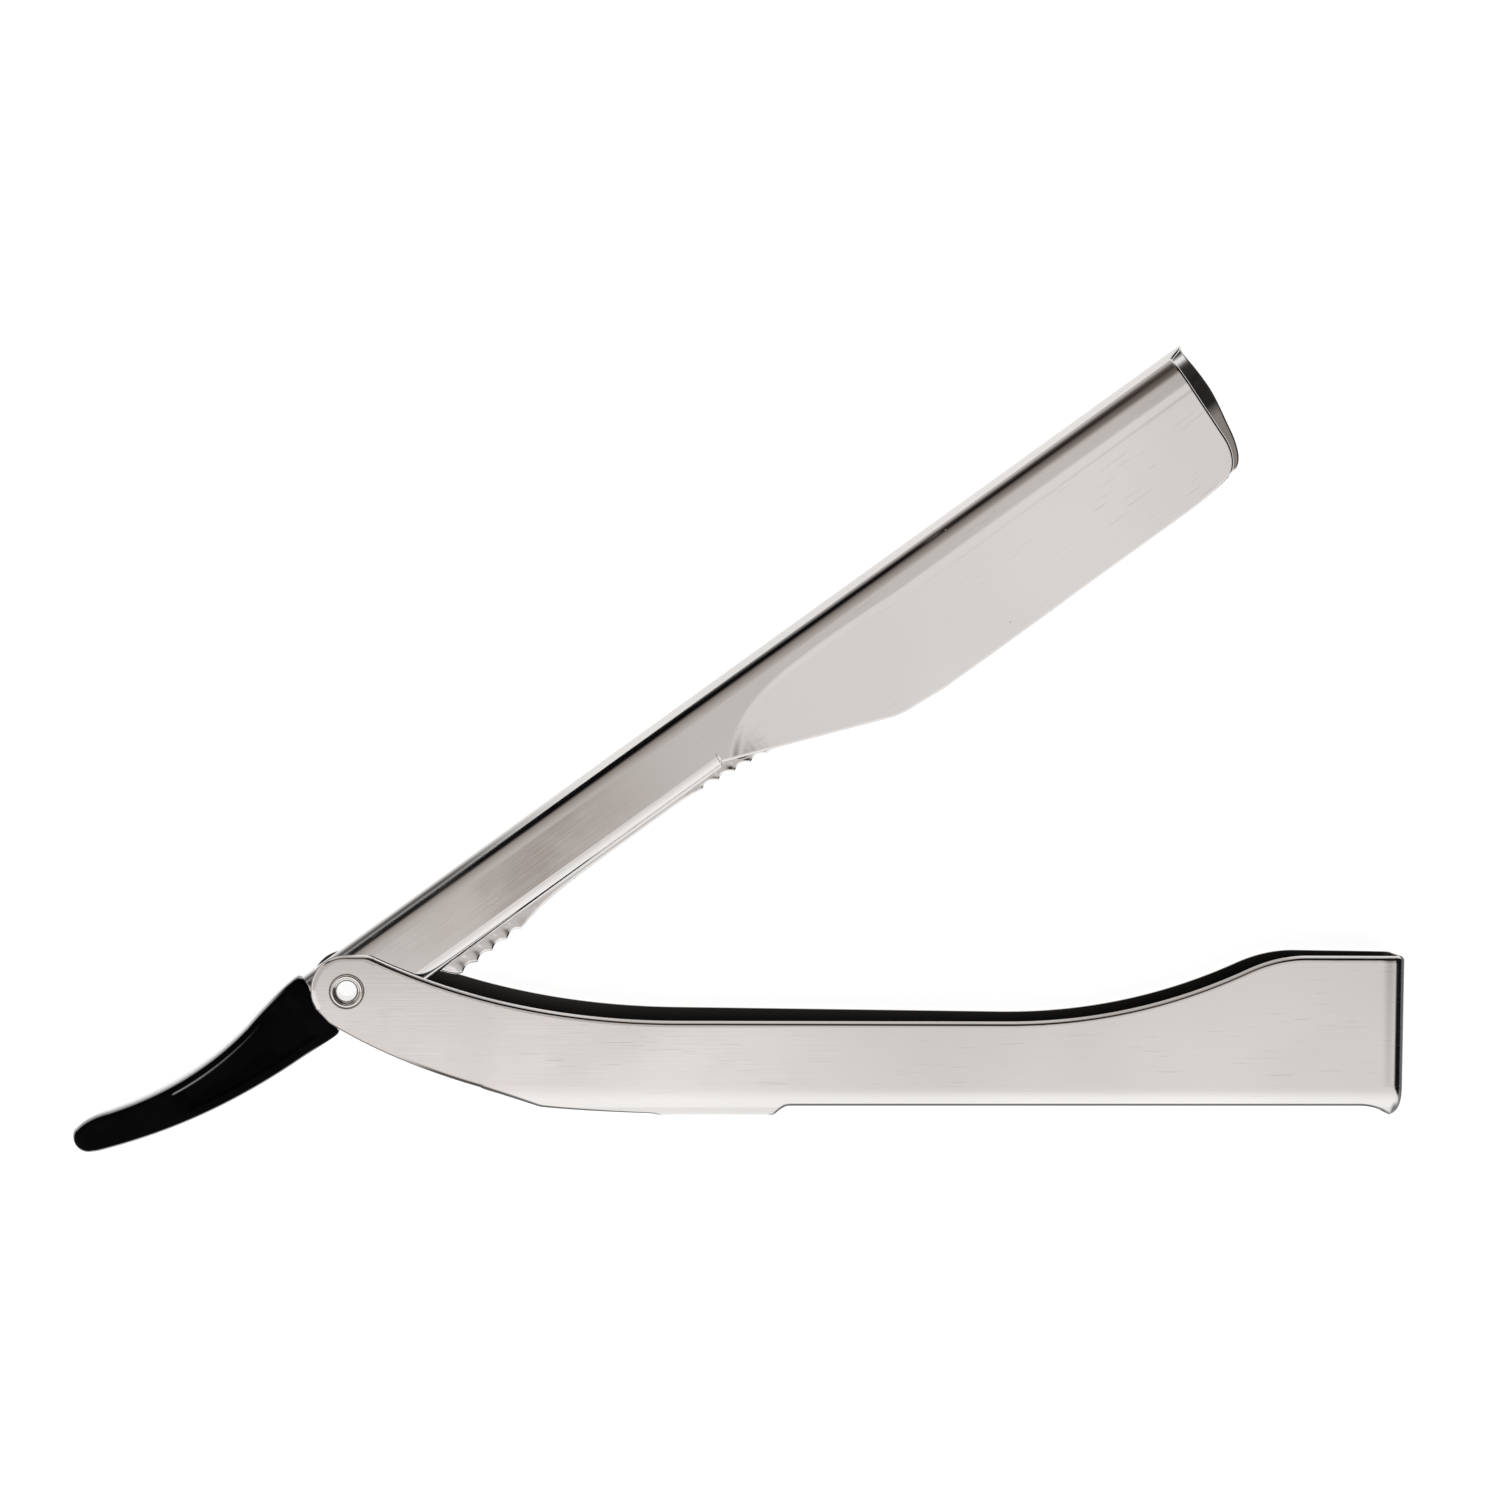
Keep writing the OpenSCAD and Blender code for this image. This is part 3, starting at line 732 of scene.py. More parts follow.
        # Painted dark reflections: bands along the plain cuts and the ear's outline, round the end bend
        # and at the lower end corner; the mask also raises the roughness.
        painted_dark_bands = np.maximum.reduce([
            0.9 * (1 - smooth((plain - 0.34) / 0.12)) * smooth((a - 6) / 6),
            0.9 * (1 - smooth((plain - 0.08) / 0.14)),
            0.9 * (1 - smooth((rim - 0.06) / 0.08)) * smooth((1.5 - a) / 2),
            0.95 * smooth((turn - 0.5) / 0.2) * (1 - smooth((turn - 1.05) / 0.2)),
            0.9 * smooth((turn + 0.1) / 0.4) * smooth((-g - 1.6) / 1.2),
        ])
        # Painted shade on the inner skin, away from its edges.
        painted_inner_shade = smooth(np.minimum(rim, plain) / 0.1)
        return [
            np.concatenate([self.fold(a, g, outer, side), painted_dark_bands[..., None]], -1),
            np.concatenate([self.fold(a, g, inner, side), painted_inner_shade[..., None]], -1),
        ]


def handle_grids(blank, side):
    """Both skins of one half of the handle: the ear as rings, the rest as columns."""
    gap_end = blank.gap_line()[-1, 0]
    columns = np.unique(np.concatenate([
        span(blank.join_x, 14, 26), span(14, 20, 24), span(20, 36, 30),
        span(36, gap_end, 24, "end"), span(gap_end + 0.15, blank.slot_start - 0.2, 20),
        span(blank.slot_start, 58, 24, "start"), span(58, 130, 130),
        span(130, blank.slot_end, 26, "end"), span(blank.slot_end + 0.05, blank.bend_x, 3),
        span(blank.bend_x, blank.bend_end, 10), span(blank.bend_end, blank.wall_end, 8),
    ]))
    rows = rows_between(blank.high_edge(columns, side), blank.low_edge(columns), 74)
    grids = blank.skins(np.repeat(columns[:, None], rows.shape[1], 1), rows, side, columns)
    join = np.stack([np.full(rows.shape[1], blank.join_x), rows[0] + blank.fold_y], 1)
    outline = resample(blank.ear_line(side), 150)
    ends = np.concatenate([join[::-1], outline[1:-1], join[-1:]])
    reach = np.hypot(ends[:, 0], ends[:, 1])[:, None]
    hole = blank.hole
    near = np.concatenate([hole + EDGE_STEPS[:6], np.linspace(2.05, 2.6, 14), [2.8, 3.1]])[None, :]
    far = reach - EDGE_STEPS[::-1][None, :]
    k = np.linspace(0, 1, 6)[1:-1][None, :]
    between = near[:, -1:] + (far[:, :1] - near[:, -1:]) * k
    rings = np.concatenate([np.repeat(near, len(ends), 0), between, far], 1)
    x = ends[:, :1] / reach * rings
    y = ends[:, 1:] / reach * rings
    return grids + blank.skins(x, y - blank.fold_y, side, columns, rings - hole)


class RAZOR_OT_handle(bpy.types.Operator):
    """Add the folded handle"""

    bl_idname = "razor.handle"
    bl_label = "Handle"

    def execute(self, context):
        blank = HandleBlank(context.scene.razor_handle)
        grids = handle_grids(blank, 1) + handle_grids(blank, -1)
        mesh = mesh_from_grids("handle_sheet", grids)
        piece("handle_sheet", mesh, "handle", "handle_steel", finish("handle_steel"), "handle_shell")
        return {"FINISHED"}


# ---- Pivot ----------------------------------------------------------------------------------
class RAZOR_OT_rivet(bpy.types.Operator):
    """Add the hollow rivet with its rolled flanges"""

    bl_idname = "razor.rivet"
    bl_label = "Rivet"

    def execute(self, context):
        settings = context.scene.razor_pivot
        bore, flange = settings.bore / MM, settings.flange / MM
        barrel = bore + settings.wall / MM
        top = corner("pivot_rivet", True)[2]
        roll = (flange - bore) * 0.3
        crown = [flange - roll, top - roll]
        foot = [crown[0] - roll, top - roll - 0.12]
        half = np.concatenate([
            [[bore, 0]],
            curve([bore, top - 0.95], [bore, foot[1] - 0.12], foot, 12),
            arc(crown, roll, 180, 0, 24),
            curve([flange, top - roll], [flange, top - 0.3], [barrel + 0.08, top - 0.3], 6),
            [[barrel, top - 0.42]],
        ])
        profile = np.concatenate([half, half[::-1] * [1, -1]])
        profile = np.concatenate([profile, profile[:1]])
        turn = np.linspace(0, 2 * math.pi, 97)[:, None]
        r, z = profile[:, 0][None, :], profile[:, 1][None, :]
        grid = np.stack([r * np.cos(turn), r * np.sin(turn), z + 0 * turn], -1)
        mesh = mesh_from_grids("hollow_rivet", [grid], sharp=50)
        piece("hollow_rivet", mesh, "handle", "fitting_steel", finish("fitting_steel"), "pivot_rivet")
        return {"FINISHED"}


class RAZOR_OT_fittings(bpy.types.Operator):
    """Give the turned bush, washers and studs their finish"""

    bl_idname = "razor.fittings"
    bl_label = "Bush, washers and studs"

    def execute(self, context):
        names = ["front_washer", "rear_washer", "pivot_bush", "stud_near", "stud_middle", "stud_far"]
        for name in names:
            mesh = frame["nodes"][name].data
            mesh.materials.clear()
            mesh.materials.append(finish("fitting_steel"))
        return {"FINISHED"}


# ---- Holder ---------------------------------------------------------------------------------
class HolderBlank:
    """The holder's flat development and the fold that shapes it.

    s runs along the arm; g is measured down one side from the top of the spine.
    """

    def __init__(self, settings):
        self.half_sheet = settings.sheet / MM / 2
        self.outer = HOLDER_HIGH[2]
        self.radius = self.outer - self.half_sheet
        self.arc_run = self.radius * math.pi / 2
        self.reach = settings.reach / MM
        self.rear_extra = settings.rear_extra / MM
        self.pivot_depth = settings.pivot_depth / MM
        self.shank = settings.shank_depth / MM
        self.blade = settings.blade_depth / MM
        self.start = settings.blade_start / MM
        self.edge_half = settings.edge_width / MM / 2
        self.press_in = settings.press_in / MM
        self.rim_round = settings.rim_round / MM
        self.foot_t = 5.6
        self.ripple = 0.008
        self.back = -3.8
        self.roll = settings.shank_roll / MM - self.half_sheet
        self.lip_t = self.shank - settings.shank_roll / MM
        self.lip_g = self.down(self.lip_t) + self.roll * math.pi / 2 + 0.55

    def down(self, t):
        """g on the flat cheek at depth t."""
        return self.arc_run + t - self.outer

    def low_line(self):
        """Lower cut edge along the arm, as (s, g)."""
        b = self.start
        return np.concatenate([
            [[self.back, self.down(7.8)], [5.0, self.down(8.1)]],
            curve([5.0, self.down(8.1)], [7.2, self.lip_g], [9.6, self.lip_g], 16),
            curve([b - 1.3, self.lip_g], [b - 0.25, self.lip_g], [b - 0.1, self.down(8.9)], 12),
            [[b + 0.1, self.down(8.95)]],
            curve([b + 20.8, self.down(self.blade - 1.05)], [b + 22.1, self.down(self.blade - 0.55)],
                  [b + 23.8, self.down(self.blade - 0.42)], 12),
            [[b + 29, self.down(self.blade)], [self.reach - 9, self.down(self.blade)]],
            curve([self.reach - 9, self.down(self.blade)], [self.reach - 4.5, self.down(self.blade - 0.1)],
                  [self.reach - 2.6, self.down(self.blade - 0.7)], 10),
            [[self.reach + 4, self.down(self.blade - 0.7)]],
        ])

    def low_edge(self, s):
        """Lowest g of the blank at each s."""
        line = self.low_line()
        return np.interp(s, line[:, 0], line[:, 1])

    def step_lines(self, s):
        """Depths at s of the crease, of the foot of the pressed step and of the faint line below."""
        b, foot_t = self.start, self.foot_t
        crease = np.concatenate([
            curve([b - 0.3, 11], [b + 2.9, 4.2], [b + 14.2, 3.9]),
            curve([b + 14.2, 3.9], [b + 22, 3.6], [b + 31, foot_t - 1.5]),
            [[self.reach + 5, foot_t - 1.5]],
        ])
        foot = np.concatenate([
            curve([b + 0.9, 12], [b + 4.2, 5.2], [b + 15.1, 4.9]),
            [[b + 20, 4.9], [b + 31, foot_t], [self.reach + 5, foot_t]],
        ])
        faint = curve([b + 4.6, 14], [b + 8.2, 6.6], [b + 20, 6.7])
        ahead = np.maximum(b + 0.9 - s, 0) * 3
        t2 = np.interp(s, foot[:, 0], foot[:, 1]) + ahead
        t1 = np.minimum(np.interp(s, crease[:, 0], crease[:, 1]) + np.maximum(b - 0.3 - s, 0) * 3, t2 - 1)
        return t1, t2, np.interp(s, faint[:, 0], faint[:, 1])

    def press(self, s, t):
        """How far the cheek is pressed in.

        A soft ramp falls from the crease to the foot, a slope runs on to the edge, and a faint
        ripple follows the step a little lower. The slope counts from the foot at right angles.
        """
        t1, t2, t3 = self.step_lines(s)
        steep = (self.step_lines(s + 0.1)[1] - t2) / 0.1
        slope = (self.outer - self.press_in - self.edge_half) / (self.blade - self.foot_t)
        ripple = np.exp(-((t - t3) / 0.3) ** 2) * smooth((self.start + 26 - s) / 9)
        ramp_down = self.press_in * smooth((t - t1) / (t2 - t1))
        beyond = np.maximum(t - t2, 0) / np.hypot(1, steep)
        return ramp_down + slope * beyond - self.ripple * ripple

    def end_line(self, side, g):
        """Where the sheet ends along the arm at each g."""
        t = np.maximum(g - self.arc_run + self.outer, 0)
        middle = self.reach + self.rear_extra - 0.5
        if side > 0:
            end = middle + (self.reach - middle) * np.clip(g / 1.8, 0, 1) ** 2
        else:
            end = middle + 0.5 * smooth(g / 6) - 1.4 * smooth((t - 6) / 10)
        corner_run, corner_drop = 2.6, 4.5
        k = np.clip((t - self.blade + 0.7) / corner_drop + 1, 0, 1)
        return end - corner_run * (1 - np.sqrt(1 - k * k))

    def fold(self, s, g, off, side):
        """Round spine, then a cheek that is pressed in, then the shank's rolled lip."""
        psi = np.clip(g / self.radius, 0, math.pi / 2)
        t = self.outer - (self.radius + off) * np.cos(psi) + np.maximum(g - self.arc_run, 0)
        z = (self.radius + off) * np.sin(psi) - self.press(s, t)
        over = np.where(s < self.start, t - self.lip_t, -1)
        omega = np.clip(over / self.roll, 0, math.pi / 2)
        flat = np.maximum(over - self.roll * math.pi / 2, 0)
        lip = over > 0
        t = np.where(lip, self.lip_t + (self.roll + off) * np.sin(omega), t)
        lip_z = self.radius - self.roll + (self.roll + off) * np.cos(omega) - flat
        z = np.where(lip, lip_z, z)
        return arm_to_frame(s, t, side * z, self.pivot_depth)


def holder_side(blank, side):
    """Columns and rows of one side of the holder's blank."""
    far = blank.reach + blank.rear_extra
    base = np.unique(np.concatenate([
        blank.back + EDGE_STEPS, span(blank.back + 0.8, 10, 44), span(10, blank.start - 1.5, 60),
        span(blank.start - 1.5, blank.start + 0.3, 14), span(blank.start + 0.3, 88, 100),
        span(88, far - 0.8, 74), far - EDGE_STEPS,
    ]))
    m = 120
    g_end = rows_down(np.array([blank.down(blank.blade - 0.7)]), m)
    shift = blank.end_line(side, g_end) - far
    weight = smooth((base - 110) / (far - 1.0 - 110))[:, None]
    s = base[:, None] + weight * shift
    return s, rows_down(blank.low_edge(s[:, -1]), m)


def free_edges(s, g):
    """Lower, near and far edges of one side's grid, as lists of (s, g)."""
    return [np.stack([s[k], g[k]], 1) for k in (np.s_[:, -1], 0, -1)]


def holder_tones(blank, side, s, g, d):
    """Painted shade: a dark reflection beside the shank's spine, and inside shade lightened near the open
    end.
    """
    t = g - blank.arc_run + blank.outer
    # Painted light on the inside near the open end; painted shade elsewhere inside.
    lit = smooth((t - 8.5) / 2) + np.exp(-((t - 1.6) / 0.7) ** 2)
    lit = np.clip(lit, 0, 1) * smooth((s - blank.reach + 4) / 3)
    # Painted dark reflection on the front skin along the spine's round, fading along the shank.
    painted_dark_reflection = 0.97 * np.exp(-((g - 1.45) / 0.6) ** 2) * (1 - smooth((s - 16) / 26)) * (side > 0)
    return painted_dark_reflection, smooth(d / 0.3) * (1 - lit)


class RAZOR_OT_holder(bpy.types.Operator):
    """Add the folded blade holder"""

    bl_idname = "razor.holder"
    bl_label = "Blade holder"

    def execute(self, context):
        blank = HolderBlank(context.scene.razor_holder)
        sides = {side: holder_side(blank, side) for side in (1, -1)}
        cuts = {side: free_edges(*sides[side]) for side in (1, -1)}
        grids = []
        for side, (s, g) in sides.items():
            mirrored = [line * [1, -1] for line in cuts[-side]]
            d = edge_distance(s, g, cuts[side] + mirrored)
            outer = blank.fold(s, g, blank.half_sheet * full_round(d, blank.rim_round), side)
            inner = blank.fold(s, g, -blank.half_sheet * full_round(d, 0.2), side)
            # Each skin carries its painted shade as the fourth number.
            for skin, tones in zip((outer, inner), holder_tones(blank, side, s, g, d)):
                grids.append(np.concatenate([skin, tones[..., None]], -1))
        mesh = mesh_from_grids("holder_sheet", grids)
        mesh = drill(mesh, BUSH_HOLE, "holder_sheet")
        piece("holder_sheet", mesh, "holder", "holder_steel", finish("holder_steel"), "holder_shell")
        return {"FINISHED"}


# ---- Carrier --------------------------------------------------------------------------------
class CarrierBlank:
    """The carrier's development: a bead under the spine and two leaves hanging from it."""

    def __init__(self, settings, holder):
        self.half_sheet = settings.sheet / MM / 2
        self.radius = settings.bead / MM - self.half_sheet
        self.leaf_z = settings.leaf_gap / MM / 2 + self.half_sheet
        self.centre = holder.half_sheet * 2 + 0.1 + settings.bead / MM
        self.turn = math.pi - math.asin(self.leaf_z / self.radius)
        self.bead_run = self.radius * self.turn
        self.neck = self.centre + self.radius * math.cos(math.pi - self.turn)
        self.pitch = settings.pitch / MM
        self.scallop = settings.scallop / MM
        self.left = 10.3
        self.right = holder.reach - 1.7
        self.waist = holder.shank + 0.6
        self.deep = self.waist + 1.4
        self.grip = 13.0
        self.grip_end = self.grip + 4 * self.pitch
        self.second = self.grip + 38.4
        self.second_end = self.second + 4 * self.pitch
        self.start = holder.start
        self.low = holder.blade - 0.8
        self.pivot_depth = holder.pivot_depth

    def down(self, t):
        """g on a leaf at depth t."""
        return self.bead_run + t - self.neck

    def low_depth(self, s):
        """Depth of the lower edge: two runs of scallops with a shallow hollow between."""
        end1, grip2, end2 = self.grip_end, self.second, self.second_end
        base = np.concatenate([
            [[self.grip, self.deep], [end1, self.deep - 0.2]],
            curve([end1, self.deep - 0.2], [end1 + 3.5, self.waist], [end1 + 12, self.waist]),
            curve([grip2 - 4, self.waist], [grip2 - 2, self.waist + 0.05], [grip2, self.waist + 0.3], 8),
            [[end2, self.deep], [end2 + 0.6, self.deep - 0.1]],
            [[self.start + 23.5, self.low], [self.right + 1, self.low]],
        ])
        bite = sum(
            np.where((s > first) & (s < last), np.abs(np.sin(np.pi * (s - first) / self.pitch)), 0)
            for first, last in ((self.grip, end1), (grip2, end2))
        )
        return np.interp(s, base[:, 0], base[:, 1]) - self.scallop * bite

    def grip_relief(self, s, t):
        """How far the finger grips stand out: a gentle flare with a rib at each tooth."""
        below = self.waist - 0.9
        run1 = smooth((s - self.grip + 2) / 2) * (1 - smooth((s - self.grip - 4.4 * self.pitch) / 2))
        run2 = smooth((s - self.second + 2) / 2)
        run2 = run2 * (1 - smooth((s - self.second - 4.6 * self.pitch) / 3))
        flare = 0.2 * np.clip((t - below) / 2.0, 0, 1) ** 1.5
        rib = 0.05 * np.cos(2 * np.pi * (s - self.grip) / self.pitch) * smooth((t - below - 0.3) / 0.8)
        return (run1 + run2) * (flare + rib)

    def fold(self, s, g, off, side):
        """Bead as an arc, leaves flat, with the sheet's normal turned gently at the neck."""
        psi = np.minimum(g / self.radius, self.turn)
        over = np.maximum(g - self.bead_run, 0)
        t = self.centre - self.radius * np.cos(psi) + over
        z = self.radius * np.sin(psi) + self.grip_relief(s, t)
        k = smooth((g - self.bead_run + 0.9) / 1.2)
        nt = -np.cos(psi) * (1 - k)
        nz = np.sin(psi) * (1 - k) + k
        size = np.hypot(nt, nz)
        return arm_to_frame(s, t + off * nt / size, side * (z + off * nz / size), self.pivot_depth)


def carrier_side(blank, m=84):
    """Columns and rows of one side of the carrier's blank, with both ends rounded off."""
    base = np.unique(np.concatenate([
        blank.left + EDGE_STEPS, span(blank.left + 0.8, blank.grip, 10),
        span(blank.grip, blank.grip_end, 80), span(blank.grip_end, blank.second, 40),
        span(blank.second, blank.second_end, 80), span(blank.second_end, 80, 20),
        span(80, blank.right - 0.8, 40), blank.right - EDGE_STEPS,
    ]))
    v = np.linspace(0, 1, m)
    left_g = v * blank.down(blank.deep)
    round_left = 2.7 * (1 - np.sqrt(np.clip(1 - smooth((left_g - blank.down(6)) / 5.2) ** 2, 0, 1)))
    down = np.clip(v * blank.down(blank.low) - blank.down(blank.low - 2), 0, 2)
    round_right = 2 - np.sqrt(4 - down * down)
    weight_left = 1 - smooth((base - blank.left - 0.7) / 8)
    weight_right = smooth((base - 118) / (blank.right - 0.8 - 118))
    s = base[:, None] + weight_left[:, None] * round_left - weight_right[:, None] * round_right
    return s, rows_down(blank.down(blank.low_depth(s[:, -1])), m)


class RAZOR_OT_carrier(bpy.types.Operator):
    """Add the folded blade carrier"""

    bl_idname = "razor.carrier"
    bl_label = "Blade carrier"

    def execute(self, context):
        blank = CarrierBlank(context.scene.razor_carrier, HolderBlank(context.scene.razor_holder))
        s, g = carrier_side(blank)
        cuts = free_edges(s, g)
        mirrored = [line * [1, -1] for line in cuts[1:]]
        d = edge_distance(s, g, cuts + mirrored)
        grids = []
        for side in (1, -1):
            grids.append(blank.fold(s, g, blank.half_sheet * full_round(d, 0.25), side))
            grids.append(blank.fold(s, g, -blank.half_sheet * full_round(d, 0.15), side))
        mesh = mesh_from_grids("carrier_sheet", grids)
        piece("carrier_sheet", mesh, "carrier", "carrier_steel", finish("carrier_steel"), "blade_carrier")
        return {"FINISHED"}


# ---- Tail -----------------------------------------------------------------------------------
def tail_outline(holder, k, n):
    """n points along the upper and the lower edge of the tail, crowded towards its tip.

    k stretches the points beyond the holder's end to the tail's reach.
    """
    back = holder.back
    top = holder.pivot_depth + 0.45
    tip, tip_round = [-37.1 * k, 3.95 * k], 2 * k
    upper = np.concatenate([
        curve([back, top - 0.35], [back - 0.1, top], [back - 0.7, top], 8),
        curve([back - 0.7, top], [-8.6, top - 0.2], [-12.8, top - 1.3], 16),
        curve([-12.8, top - 1.3], [-22.5 * k, 1.75], [-33.2 * k, 5.1 * k]),
        curve([-33.2 * k, 5.1 * k], [-36 * k, 6.2 * k], [-37.9 * k, 5.7 * k], 10),
        arc(tip, tip_round, 115, 180, 8),
    ])
    lower = np.concatenate([
        [[back, -3.7]],
        curve([back, -3.75], [back - 0.4, -4.0], [back - 1.2, -3.95], 6),
        curve([-9, -3.75], [-24 * k, -3.5], [-37.2 * k, 1.75 * k], 30),
        arc(tip, tip_round, 250, 180, 8),
    ])
    pace = np.cos(np.linspace(0, math.pi / 2, n))[::-1]
    pick = np.round(pace * (n * 4 - 1)).astype(int)
    return resample(upper, n * 4)[pick], resample(lower, n * 4)[pick]


def tail_grid(settings, holder):
    """The moulding as rings from the holder to the tip.

    Each ring is a superellipse between the two edges, |across|^p + |out|^7 = 1, and a shallow
    panel is sunk into each side. The fourth number marks painted highlights along the edges and
    the groove.
    """
    drawn_reach = 39.1
    k = settings.reach / MM / drawn_reach
    n, m = 130, 168
    half, tip_half = settings.width / MM / 2, settings.tip_width / MM / 2
    top_line, low_line = tail_outline(holder, k, n)
    along = (top_line[:, 0] + low_line[:, 0]) / 2
    thick = half - (half - tip_half) * smooth((-along - 22 * k) / (17 * k))
    thick = thick * full_round(drawn_reach * k + along, 2.2)
    angle = np.linspace(0, 2 * math.pi, m + 1)[None, :]
    height = np.hypot(*(top_line - low_line).T)[:, None]
    cy, cz = np.cos(angle), np.sin(angle)
    power = 2 / np.clip(height / (settings.edge_round / MM), 2, 9)
    across = np.sign(cy) * np.abs(cy) ** power
    out = np.sign(cz) * np.abs(cz) ** (2 / 7)
    w = (1 - across) / 2
    depth = w * height
    panel_top = smooth((depth - 1.0) / 0.25) * smooth((height * (1 - w) - 1.2) / 0.5)
    panel_run = (smooth((-along - 6.2) / 0.7) * smooth((along + 26.5 * k) / 3))[:, None]
    z = out * (thick[:, None] - settings.panel / MM * panel_top * panel_run)
    x = top_line[:, :1] * (1 - w) + low_line[:, :1] * w
    y = top_line[:, 1:] * (1 - w) + low_line[:, 1:] * w
    # Painted highlights, kept in the fourth number: a thin line along the groove and along the upper and
    # lower rims.
    groove_highlight = np.exp(-((depth - 1.12) / 0.06) ** 2) * smooth((-along - 11) / 12)[:, None]
    groove_highlight = groove_highlight * (panel_run > 0.3) * (cz > 0)
    painted_rim_highlight = 1 - smooth((depth - 0.16) / 0.2) + 0.85 * smooth((depth - height + 0.3) / 0.16)
    painted_rim_highlight = np.clip(painted_rim_highlight, 0, 1) * smooth((-along - 6) / 4)[:, None]
    body = arm_to_frame(x, holder.pivot_depth - y, z, holder.pivot_depth)
    body = np.concatenate([body, np.maximum(groove_highlight, painted_rim_highlight)[..., None]], -1)
    ends = [body[i:i + 1].mean(axis=1, keepdims=True).repeat(m + 1, 1) for i in (0, n - 1)]
    return np.concatenate([ends[0], body, ends[1]])


def tongue_grid(holder):
    """The tongue: the shank's hollow less a clearance, as rings along the arm."""
    half = holder.outer - 2 * holder.half_sheet - 0.05
    low = holder.lip_t - 0.2
    crown = arc([holder.outer, 0], half, 90, 270)[:, ::-1]
    ring = np.concatenate([crown, [[-half, low], [half, low]], crown[:1]])
    middle = np.array([0, holder.pivot_depth])
    rings = []
    for s, k in ((holder.back, 0), (holder.back, 1), (4.0, 1), (8.4, 1), (8.4, 0)):
        z, t = (middle + (ring - middle) * k).T
        rings.append(arm_to_frame(np.full(len(ring), s), t, z, holder.pivot_depth))
    return np.stack(rings)


class RAZOR_OT_tail(bpy.types.Operator):
    """Add the moulded tail with its tongue"""

    bl_idname = "razor.tail"
    bl_label = "Tail"

    def execute(self, context):
        holder = HolderBlank(context.scene.razor_holder)
        mesh = mesh_from_grids("tail_moulding", [tail_grid(context.scene.razor_tail, holder)])
        tongue = mesh_from_grids("tail_tongue", [tongue_grid(holder)])
        tongue_mesh = drill(tongue, BUSH_HOLE, "tail_tongue")
        bm = bmesh.new()
        bm.from_mesh(mesh)
        bm.from_mesh(tongue_mesh)
        bm.to_mesh(mesh)
        bm.free()
        piece("tail_moulding", mesh, "holder", "tail_plastic", finish("tail_plastic"), "tail")
        return {"FINISHED"}


# ---- Stage ----------------------------------------------------------------------------------
def world_light():
    """Studio surround: a soft top, a dark band above the spine side, dark right, pale elsewhere."""
    world = bpy.data.worlds.new("studio")
    bpy.context.scene.world = world
    world.use_nodes = True
    tree = world.node_tree
    tree.nodes.clear()
    add = node_adder(tree)
    way = add("TexCoord").outputs["Generated"]
    x, y, z = add("SeparateXYZ", {}, {"Vector": way}).outputs

    def soft(value, low, high):
        return ramp(add, value, low, high)

    def times(a, b):
        return add("Math", {"operation": "MULTIPLY"}, {0: a, 1: b}).outputs[0]

    def less(a):
        return add("Math", {"operation": "SUBTRACT", 0: 1.0}, {1: a}).outputs[0]

    def blend(factor, a, b):
        node = add("Mix", {"data_type": "RGBA"}, {"Factor": factor})
        for key, value in (("A", a), ("B", b)):
            if isinstance(value, tuple):
                node.inputs[key].default_value = (*value, 1)
            else:
                tree.links.new(value, node.inputs[key])
        return node.outputs["Result"]

    def plus(a, b, k=1.0):
        return add("Math", {"operation": "MULTIPLY_ADD", 1: k}, {0: b, 2: a}).outputs[0]

    def held(value, low, high):
        return add("Clamp", {"Min": low, "Max": high}, {"Value": value}).outputs[0]

    def from_x(start, low, high):
        return held(add("Math", {"operation": "SUBTRACT", 1: start}, {0: x}).outputs[0], low, high)

    spine_side = add("VectorMath", {"operation": "DOT_PRODUCT", 1: (0.55, 0.94, 0.0)}, {0: way})
    side = spine_side.outputs["Value"]
    # A black screen on the spine side, whose lower edge bends with x.
    height = plus(z, x, -0.74)
    over = plus(plus(plus(height, from_x(-0.5, -2.0, 0.0), -3.2), from_x(-0.5, 0.0, 0.25), -0.9),
                from_x(-0.05, 0.0, 0.3), 2.0)
    black = times(soft(over, 0.44, 0.74), less(soft(height, 0.87, 1.05)))
    black = times(black, soft(side, 0.2, 0.36))
    # Warm dim light behind it, a dark room to the right, and a dim spot straight above.
    brown = times(soft(side, 0.02, 0.42), soft(z, 0.1, 0.5))
    right_side = soft(plus(x, held(y, -1.0, 0.0), 1.2), 0.17, 0.48)
    spot = add("VectorMath", {"operation": "DISTANCE", 1: (0.038, -0.06, 0.9975)}, {0: way})
    spot_mask = less(soft(spot.outputs["Value"], 0.0, 0.044))
    # The lit ceiling: brighter to the left and towards -Y, dimmer towards the spine side.
    pale = blend(soft(x, 0.08, 0.14), (1.15, 1.11, 1.095), (0.97, 0.955, 0.945))
    pale = blend(less(soft(y, -0.9, -0.15)), pale, (1.3, 1.3, 1.3))
    shade = blend(soft(x, 0.02, 0.1), (0.66, 0.635, 0.615), (0.79, 0.765, 0.745))
    shade = blend(soft(x, 0.12, 0.24), shade, (0.9, 0.875, 0.86))
    above = blend(soft(y, -0.112, -0.088), pale, shade)
    above = blend(spot_mask, above, (0.44, 0.385, 0.35))
    above = blend(brown, above, (0.34, 0.295, 0.265))
    with_band = blend(black, above, (0.003, 0.003, 0.004))
    right = blend(right_side, with_band, (0.01, 0.01, 0.011))
    light = add("Background", {"Strength": 1.0}, {"Color": right})
    out = add("OutputWorld")
    tree.links.new(light.outputs[0], out.inputs[0])


